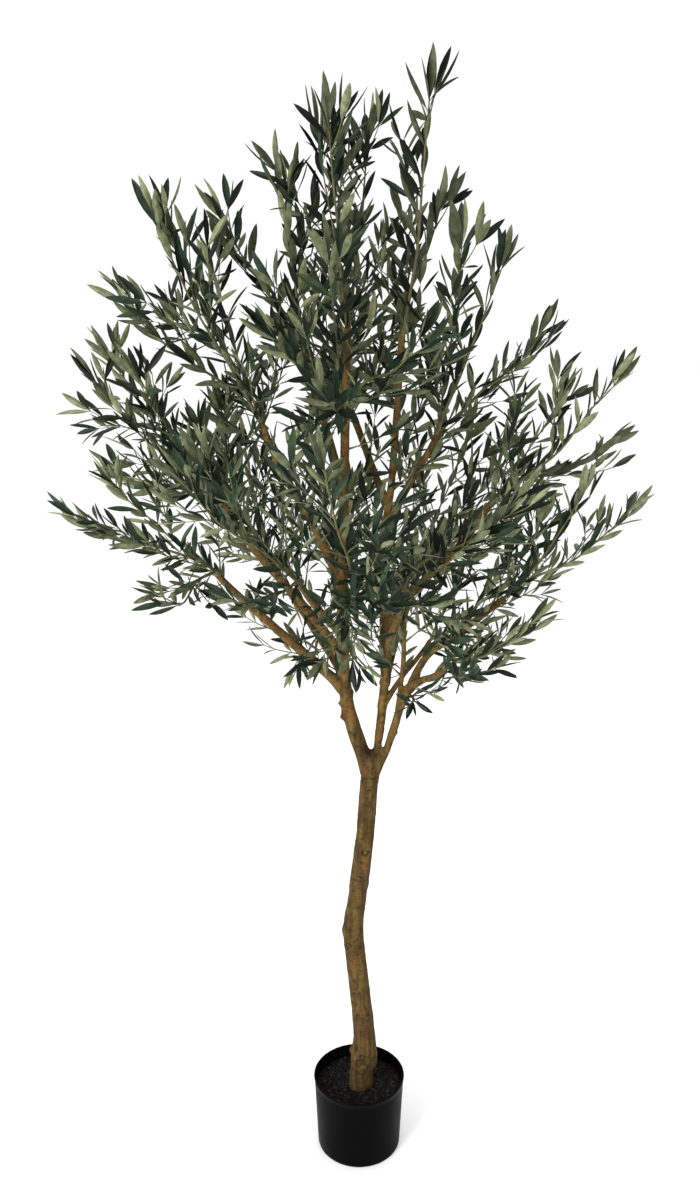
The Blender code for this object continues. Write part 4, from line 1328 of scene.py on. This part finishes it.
def bark_material(colours):
    """Olive bark, moulded and stained: dull and rough.  The stain runs down in streaks 9 mm wide,
    olive on brown, with ruddy patches 60 mm wide, dark flecks 3 mm long, hairline rings round
    the limb, and painted shade in the hollows."""
    material, tree, shader = new_material("bark_stained", Roughness=0.82, Specular_IOR_Level=0.15)
    place = add_node(tree, "TexCoord").outputs["Object"]
    height = add_node(tree, "SeparateXYZ", links={0: place}).outputs["Z"]
    hollow = add_node(tree, "Attribute", attribute_name="hollow").outputs["Fac"]
    drawn, squeezed = [add_node(tree, "Mapping", {"Scale": (1.0, 1.0, 1.0 / stretch)},
                                {"Vector": place}).outputs[0] for stretch in (7.0, 0.16)]
    streaks, rings, patches, clouds, flecks = [
        add_node(tree, "TexNoise", {"Scale": per_mm(size), "Detail": detail},
                 {"Vector": vector}).outputs["Fac"]
        for size, detail, vector in ((9, 4.0, drawn), (34, 2.0, squeezed), (60, 2.0, place),
                                     (30, 4.0, place), (5, 3.0, place))]
    # a hairline runs where the squeezed noise crosses its middle value
    middle = add_node(tree, "Math", {1: 0.5}, {0: rings}, operation="SUBTRACT")
    away = add_node(tree, "Math", links={0: middle.outputs[0]}, operation="ABSOLUTE").outputs[0]
    sleeve_top = FILL_LEVEL + SLEEVE_TOP
    rise, ruddy, *shades = [
        add_node(tree, "MapRange", dict(enumerate(limits, 1)), {0: socket}).outputs[0]
        for socket, *limits in (
            (height, 0.96, 1.16, 0.0, 1.0), (patches, 0.56, 0.68, 0.0, 0.5),
            (clouds, 0.32, 0.68, 0.74, 1.24), (away, 0.004, 0.022, 0.66, 1.0),
            (flecks, 0.30, 0.44, 0.50, 1.0),
            (height, sleeve_top - 0.001, sleeve_top + 0.002, 0.76, 1.0),
            # painted shade in the hollows kept with the mesh: crotch, rings, scars, pits, knobs'
            # feet and under the sleeve's edge
            (hollow, 0.0, 1.0, 1.0, 0.24))]
    stem, bough = [
        add_node(tree, "ValToRGB", links={0: streaks}, stops=stops).outputs[0] for stops in (
            ((0.32, shaded(colours.stem_bark, 0.62)), (0.50, list(colours.stem_bark)),
             (0.66, shaded(colours.olive_streak, 1.15))),
            ((0.32, shaded(colours.bough_bark, 0.55)), (0.50, list(colours.bough_bark)),
             (0.68, shaded(colours.bough_bark, 1.40))))]
    blend = add_node(tree, "Mix", links={0: rise, 6: stem, 7: bough}, data_type="RGBA")
    mixed = add_node(tree, "Mix", {7: list(colours.ruddy_patch)}, {0: ruddy, 6: blend.outputs[2]},
                     data_type="RGBA")
    shade, hairline = shades[:2]
    for factor in shades[1:]:
        shade = add_node(tree, "Math", links={0: shade, 1: factor}, operation="MULTIPLY").outputs[0]
    coloured = add_node(tree, "VectorMath", links={0: mixed.outputs[2], "Scale": shade},
                        operation="SCALE")
    tree.links.new(coloured.outputs[0], shader.inputs["Base Color"])
    relief = add_node(tree, "Math", links={0: hairline, 1: flecks}, operation="ADD")
    bump = add_node(tree, "Bump", {"Strength": 0.6, "Distance": 0.0012},
                    {"Height": relief.outputs[0]})
    tree.links.new(bump.outputs[0], shader.inputs["Normal"])
    return material


def dyed_material(name, colour, finish, cloud, stops, relief, grain=None):
    """A dye in clouds of some size and detail between two strengths, with a roughness and sheen
    and a relief of some strength and depth, by those clouds or by a grain of its own."""
    roughness, sheen = finish
    material, tree, shader = new_material(name, Roughness=roughness, Specular_IOR_Level=sheen)
    place = add_node(tree, "TexCoord").outputs["Object"]
    patterns = [add_node(tree, "TexNoise", {"Scale": per_mm(size), "Detail": detail},
                         {"Vector": place}).outputs["Fac"]
                for size, detail in filter(None, (cloud, grain))]
    dye = add_node(tree, "ValToRGB", links={0: patterns[0]},
                   stops=[(at, shaded(colour, strength)) for at, strength in stops])
    tree.links.new(dye.outputs[0], shader.inputs["Base Color"])
    strength, distance = relief
    bump = add_node(tree, "Bump", {"Strength": strength, "Distance": distance},
                    {"Height": patterns[-1]})
    tree.links.new(bump.outputs[0], shader.inputs["Normal"])
    return material


def twig_material(name, colour, patch):
    """Moulded polyethylene over wire, dyed: soft low sheen, with patches along the twig."""
    return dyed_material(name, colour, (0.62, 0.35), (patch, 3.0), ((0.34, 0.60), (0.66, 1.25)),
                         (0.4, 0.0005))


def leaf_material(name, hex_colour, finish):
    """Printed polyester, pressed: a dye that clouds over 14 mm, with a soft broad gloss and a
    fine weave, drawn at 1.2 mm so that it still shows."""
    return dyed_material(name, linear(hex_colour), finish, (14, 2.0),
                         ((0.34, 0.72), (0.66, 1.35)), (0.15, 0.0002), grain=(1.2, 1.0))


def granule_material(name, colour):
    """Bark chip and grit, dyed dark: dull, with small pits."""
    return dyed_material(name, colour, (0.85, 0.15), (3, 3.0), ((0.35, 0.45), (0.68, 1.5)),
                         (0.7, 0.001))


def pot_material(colours):
    """Polypropylene, injection moulded: near-black with a broad satin gloss, faint flow marks
    60 mm long and a fine moulded grain."""
    material, tree, shader = new_material("polypropylene_moulded", Roughness=0.44,
                                          Specular_IOR_Level=0.022,
                                          Base_Color=list(colours.pot))
    place = add_node(tree, "TexCoord").outputs["Object"]
    flow, grain = [add_node(tree, "TexNoise", {"Scale": per_mm(size), "Detail": detail},
                            {"Vector": place}).outputs["Fac"]
                   for size, detail in ((60, 3.0), (1.5, 2.0))]
    gloss = add_node(tree, "MapRange", {1: 0.3, 2: 0.7, 3: 0.34, 4: 0.48}, {0: flow})
    tree.links.new(gloss.outputs[0], shader.inputs["Roughness"])
    bump = add_node(tree, "Bump", {"Strength": 0.12, "Distance": 0.0003}, {"Height": grain})
    tree.links.new(bump.outputs[0], shader.inputs["Normal"])
    return material


# ---- One operator for each piece or group of like pieces

class OLIVE_OT_bark(bpy.types.Operator):
    """Stem and boughs with bark relief, fused where they join"""
    bl_idname = "olive.bark"
    bl_label = "Stem and boughs"

    def execute(self, context):
        skin, axes = fused_skin(plan_limbs(BARK_FINENESS))
        roughen(skin, axes)
        material = bark_material(context.scene.olive_colours)
        fork, middle = BARK_CUTS
        low = [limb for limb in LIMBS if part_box(limb)[0][2] < middle]
        high = [limb for limb in LIMBS if limb not in low]
        for name, slot, nodes, bottom, top in (
                ("stem_bark", "bark", ["trunk"], None, fork),
                ("lower_bough_bark", "bough_bark", low, fork, middle),
                ("upper_bough_bark", "bough_bark", high, middle, None)):
            show(name, length_between(skin, bottom, top), nodes, [material])
        bpy.data.meshes.remove(skin)
        return {"FINISHED"}


class OLIVE_OT_twigs(bpy.types.Operator):
    """Thin stems and leafy twigs"""
    bl_idname = "olive.twigs"
    bl_label = "Twigs"

    def execute(self, context):
        colours = context.scene.olive_colours
        kinds = {
            "stem": ("thin_stems", twig_material("young_bark_moulded", colours.young_bark, 18)),
            "twig": ("leafy_twigs", twig_material("twig_moulded", colours.twig_green, 25)),
        }
        for kind, (name, material) in kinds.items():
            points, faces = [], []
            for course, radii, sides, this in crown_of(context).tubes:
                if this == kind:
                    more, skins = tube_parts(course, radii, sides, len(points))
                    points += more
                    faces += skins
            mesh = mesh_from(name, points, faces)
            show(name, mesh, MASSES, [material])
        return {"FINISHED"}


class OLIVE_OT_leaves(bpy.types.Operator):
    """Leaves in sprays, dark above and grey-green below"""
    bl_idname = "olive.leaves"
    bl_label = "Leaves"

    def execute(self, context):
        leaves = crown_of(context).leaves
        materials = [leaf_material("polyester_%s_%d" % (side, i), green, finish)
                     for side, greens, finish in (("top", TOP_GREENS, TOP_FINISH),
                                                  ("under", UNDER_GREENS, UNDER_FINISH))
                     for i, green in enumerate(greens)]
        middle = sorted(leaf[0].z for leaf in leaves)[len(leaves) // 2]
        for name, upper in (("leaves_lower", False), ("leaves_upper", True)):
            chosen = [leaf for leaf in leaves if (leaf[0].z >= middle) == upper]
            show(name, leaves_mesh(name, chosen), MASSES, materials)
        return {"FINISHED"}


class OLIVE_OT_pot(bpy.types.Operator):
    """Thin-walled pot with a beaded rim"""
    bl_idname = "olive.pot"
    bl_label = "Pot"

    def execute(self, context):
        slope = (POT_RIM_RADIUS - POT_BASE_RADIUS) / POT_HEIGHT
        foot, bead = POT_FOOT, POT_BEAD
        start, shoulder, edge = (POT_HEIGHT - drop for drop in BEAD_DROPS)
        profile = [(0, BASE_RISE), (POT_BASE_RADIUS - BASE_RING[1], BASE_RISE),
                   (POT_BASE_RADIUS - BASE_RING[0], 0)]
        for k in range(FOOT_STEPS + 1):
            turn = math.radians(90 * k / FOOT_STEPS)
            profile.append((POT_BASE_RADIUS - foot + foot * math.sin(turn),
                            foot - foot * math.cos(turn)))
        for k in range(1, WALL_STEPS):
            height = foot + (start - foot) * k / WALL_STEPS
            profile.append((POT_BASE_RADIUS + slope * height, height))
        rim = POT_BASE_RADIUS + slope * start
        profile += [(rim, start), (rim + bead * 0.7, shoulder), (rim + bead, edge)]
        for k in range(BEAD_STEPS + 1):
            turn = math.radians(180 * k / BEAD_STEPS)
            half = (POT_WALL + bead) / 2
            profile.append((POT_RIM_RADIUS + bead - half + half * math.cos(turn),
                            POT_HEIGHT - half + half * math.sin(turn)))
        inside = POT_BASE_RADIUS + slope * POT_FLOOR - POT_WALL
        profile += [(inside, POT_FLOOR), (0, POT_FLOOR)]
        show("pot_shell", turned("pot_shell", profile, POT_SIDES), ["pot"],
             [pot_material(context.scene.olive_colours)])
        return {"FINISHED"}


class OLIVE_OT_fill(bpy.types.Operator):
    """Dark granules on the weighted fill"""
    bl_idname = "olive.fill"
    bl_label = "Fill"

    def execute(self, context):
        colours = context.scene.olive_colours
        rng = random.Random(SEED + 2)
        tints = [granule_material("chip_dyed_%d" % i, shaded(colours.granules, factor))
                 for i, factor in enumerate(GRANULE_TINTS)]
        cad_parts["fill"].material_slots[0].material = tints[1]
        seed_body = bmesh.new()
        bmesh.ops.create_icosphere(seed_body, subdivisions=1, radius=1.0)
        corners = [vert.co.copy() for vert in seed_body.verts]
        sides = [tuple(vert.index for vert in face.verts) for face in seed_body.faces]
        seed_body.free()
        points, faces, slots = [], [], []
        widest = POT_RIM_RADIUS - POT_WALL - GRANULE_ROOM
        trunk_x, trunk_half, _ = trunk_size(0.0)
        for _ in range(GRANULES):
            reach = widest * math.sqrt(rng.random())
            turn = rng.uniform(0, 2 * math.pi)
            x, y = reach * math.cos(turn), reach * math.sin(turn)
            if math.hypot(x - trunk_x - SLEEVE_OFFSET, y) < trunk_half:
                continue
            size = rng.uniform(*GRANULE_SIZES)
            centre = Vector((x, y, FILL_LEVEL + rng.uniform(0.0, GRANULE_RISE)))
            spin = Vector([rng.uniform(-1, 1) for _ in "xyz"]).normalized()
            u, v = cross_pair(spin)
            stretch = [rng.uniform(*limits) for limits in GRANULE_STRETCH]
            offset = len(points)
            for corner in corners:
                jag = 1 + rng.uniform(-GRANULE_JAG, GRANULE_JAG)
                shaped = (u * corner.x * stretch[0] + v * corner.y * stretch[1]
                          + spin * corner.z * stretch[2])
                points.append(centre + shaped * size * jag)
            tint = rng.choice(GRANULE_MIX)
            for side in sides:
                faces.append(tuple(offset + k for k in side))
                slots.append(tint)
        mesh = tinted_mesh("granules", points, faces, slots)
        show("granules", mesh, (), tints, smooth=False)
        return {"FINISHED"}


class OLIVE_OT_stage(bpy.types.Operator):
    """Pale floor, soft lights and the camera"""
    bl_idname = "olive.stage"
    bl_label = "Stage"

    def execute(self, context):
        scene = context.scene
        body = bmesh.new()
        bmesh.ops.create_circle(body, cap_ends=True, segments=FLOOR_SIDES, radius=FLOOR_RADIUS)
        mesh = bpy.data.meshes.new("floor")
        body.to_mesh(mesh)
        body.free()
        floor = bpy.data.objects.new("floor", mesh)
        floor.location.z = -FIT_GAP
        scene.collection.objects.link(floor)
        # matt floor paint
        mesh.materials.append(new_material("floor_paint", Roughness=0.7, Specular_IOR_Level=0.1,
                                           Base_Color=list(scene.olive_colours.floor))[0])
        world = bpy.data.worlds.new("soft_white")
        world.use_nodes = True
        sky = world.node_tree.nodes["Background"]
        sky.inputs["Color"].default_value = linear("#FFFFFF")
        sky.inputs["Strength"].default_value = SKY_STRENGTH
        scene.world = world
        for name, (place, size, power) in LIGHTS.items():
            data = bpy.data.lights.new(name, "AREA")
            data.shape, data.size, data.energy = "DISK", size, power
            lamp = bpy.data.objects.new(name, data)
            lamp.location = place
            lamp.rotation_euler = (LIGHTS_AIM - Vector(place)).to_track_quat("-Z", "Y").to_euler()
            scene.collection.objects.link(lamp)
        camera_data = bpy.data.cameras.new("camera")
        camera_data.sensor_width = SENSOR
        camera_data.lens = SENSOR * CAMERA_FOCUS_PX / IMAGE_HEIGHT_PX
        camera = bpy.data.objects.new("camera", camera_data)
        camera.location = CAMERA_PLACE
        camera.rotation_euler = (math.radians(90 - CAMERA_PITCH), 0, 0)
        scene.collection.objects.link(camera)
        scene.camera = camera
        scene.view_settings.view_transform = "Standard"
        return {"FINISHED"}


class OLIVE_PT_tree(bpy.types.Panel):
    """Lists the pieces and their settings"""
    bl_idname = "OLIVE_PT_tree"
    bl_label = "Potted olive tree"
    bl_space_type = "VIEW_3D"
    bl_region_type = "UI"
    bl_category = "Olive"

    def draw(self, context):
        layout = self.layout
        for group in (context.scene.olive_sizes, context.scene.olive_colours):
            for name in group.__annotations__:
                layout.prop(group, name)
        for operator in OPERATORS:
            layout.operator(operator.bl_idname)


OPERATORS = (OLIVE_OT_pot, OLIVE_OT_fill, OLIVE_OT_bark, OLIVE_OT_twigs, OLIVE_OT_leaves,
             OLIVE_OT_stage)
CLASSES = (OliveSizes, OliveColours, *OPERATORS, OLIVE_PT_tree)


def register():
    for cls in CLASSES:
        bpy.utils.register_class(cls)
    bpy.types.Scene.olive_sizes = PointerProperty(type=OliveSizes)
    bpy.types.Scene.olive_colours = PointerProperty(type=OliveColours)


def unregister():
    del bpy.types.Scene.olive_colours
    del bpy.types.Scene.olive_sizes
    for cls in reversed(CLASSES):
        bpy.utils.unregister_class(cls)


def main():
    register()
    for step in (bpy.ops.olive.pot, bpy.ops.olive.fill, bpy.ops.olive.bark,
                 bpy.ops.olive.twigs, bpy.ops.olive.leaves, bpy.ops.olive.stage):
        step()


if __name__ == "__main__":
    main()
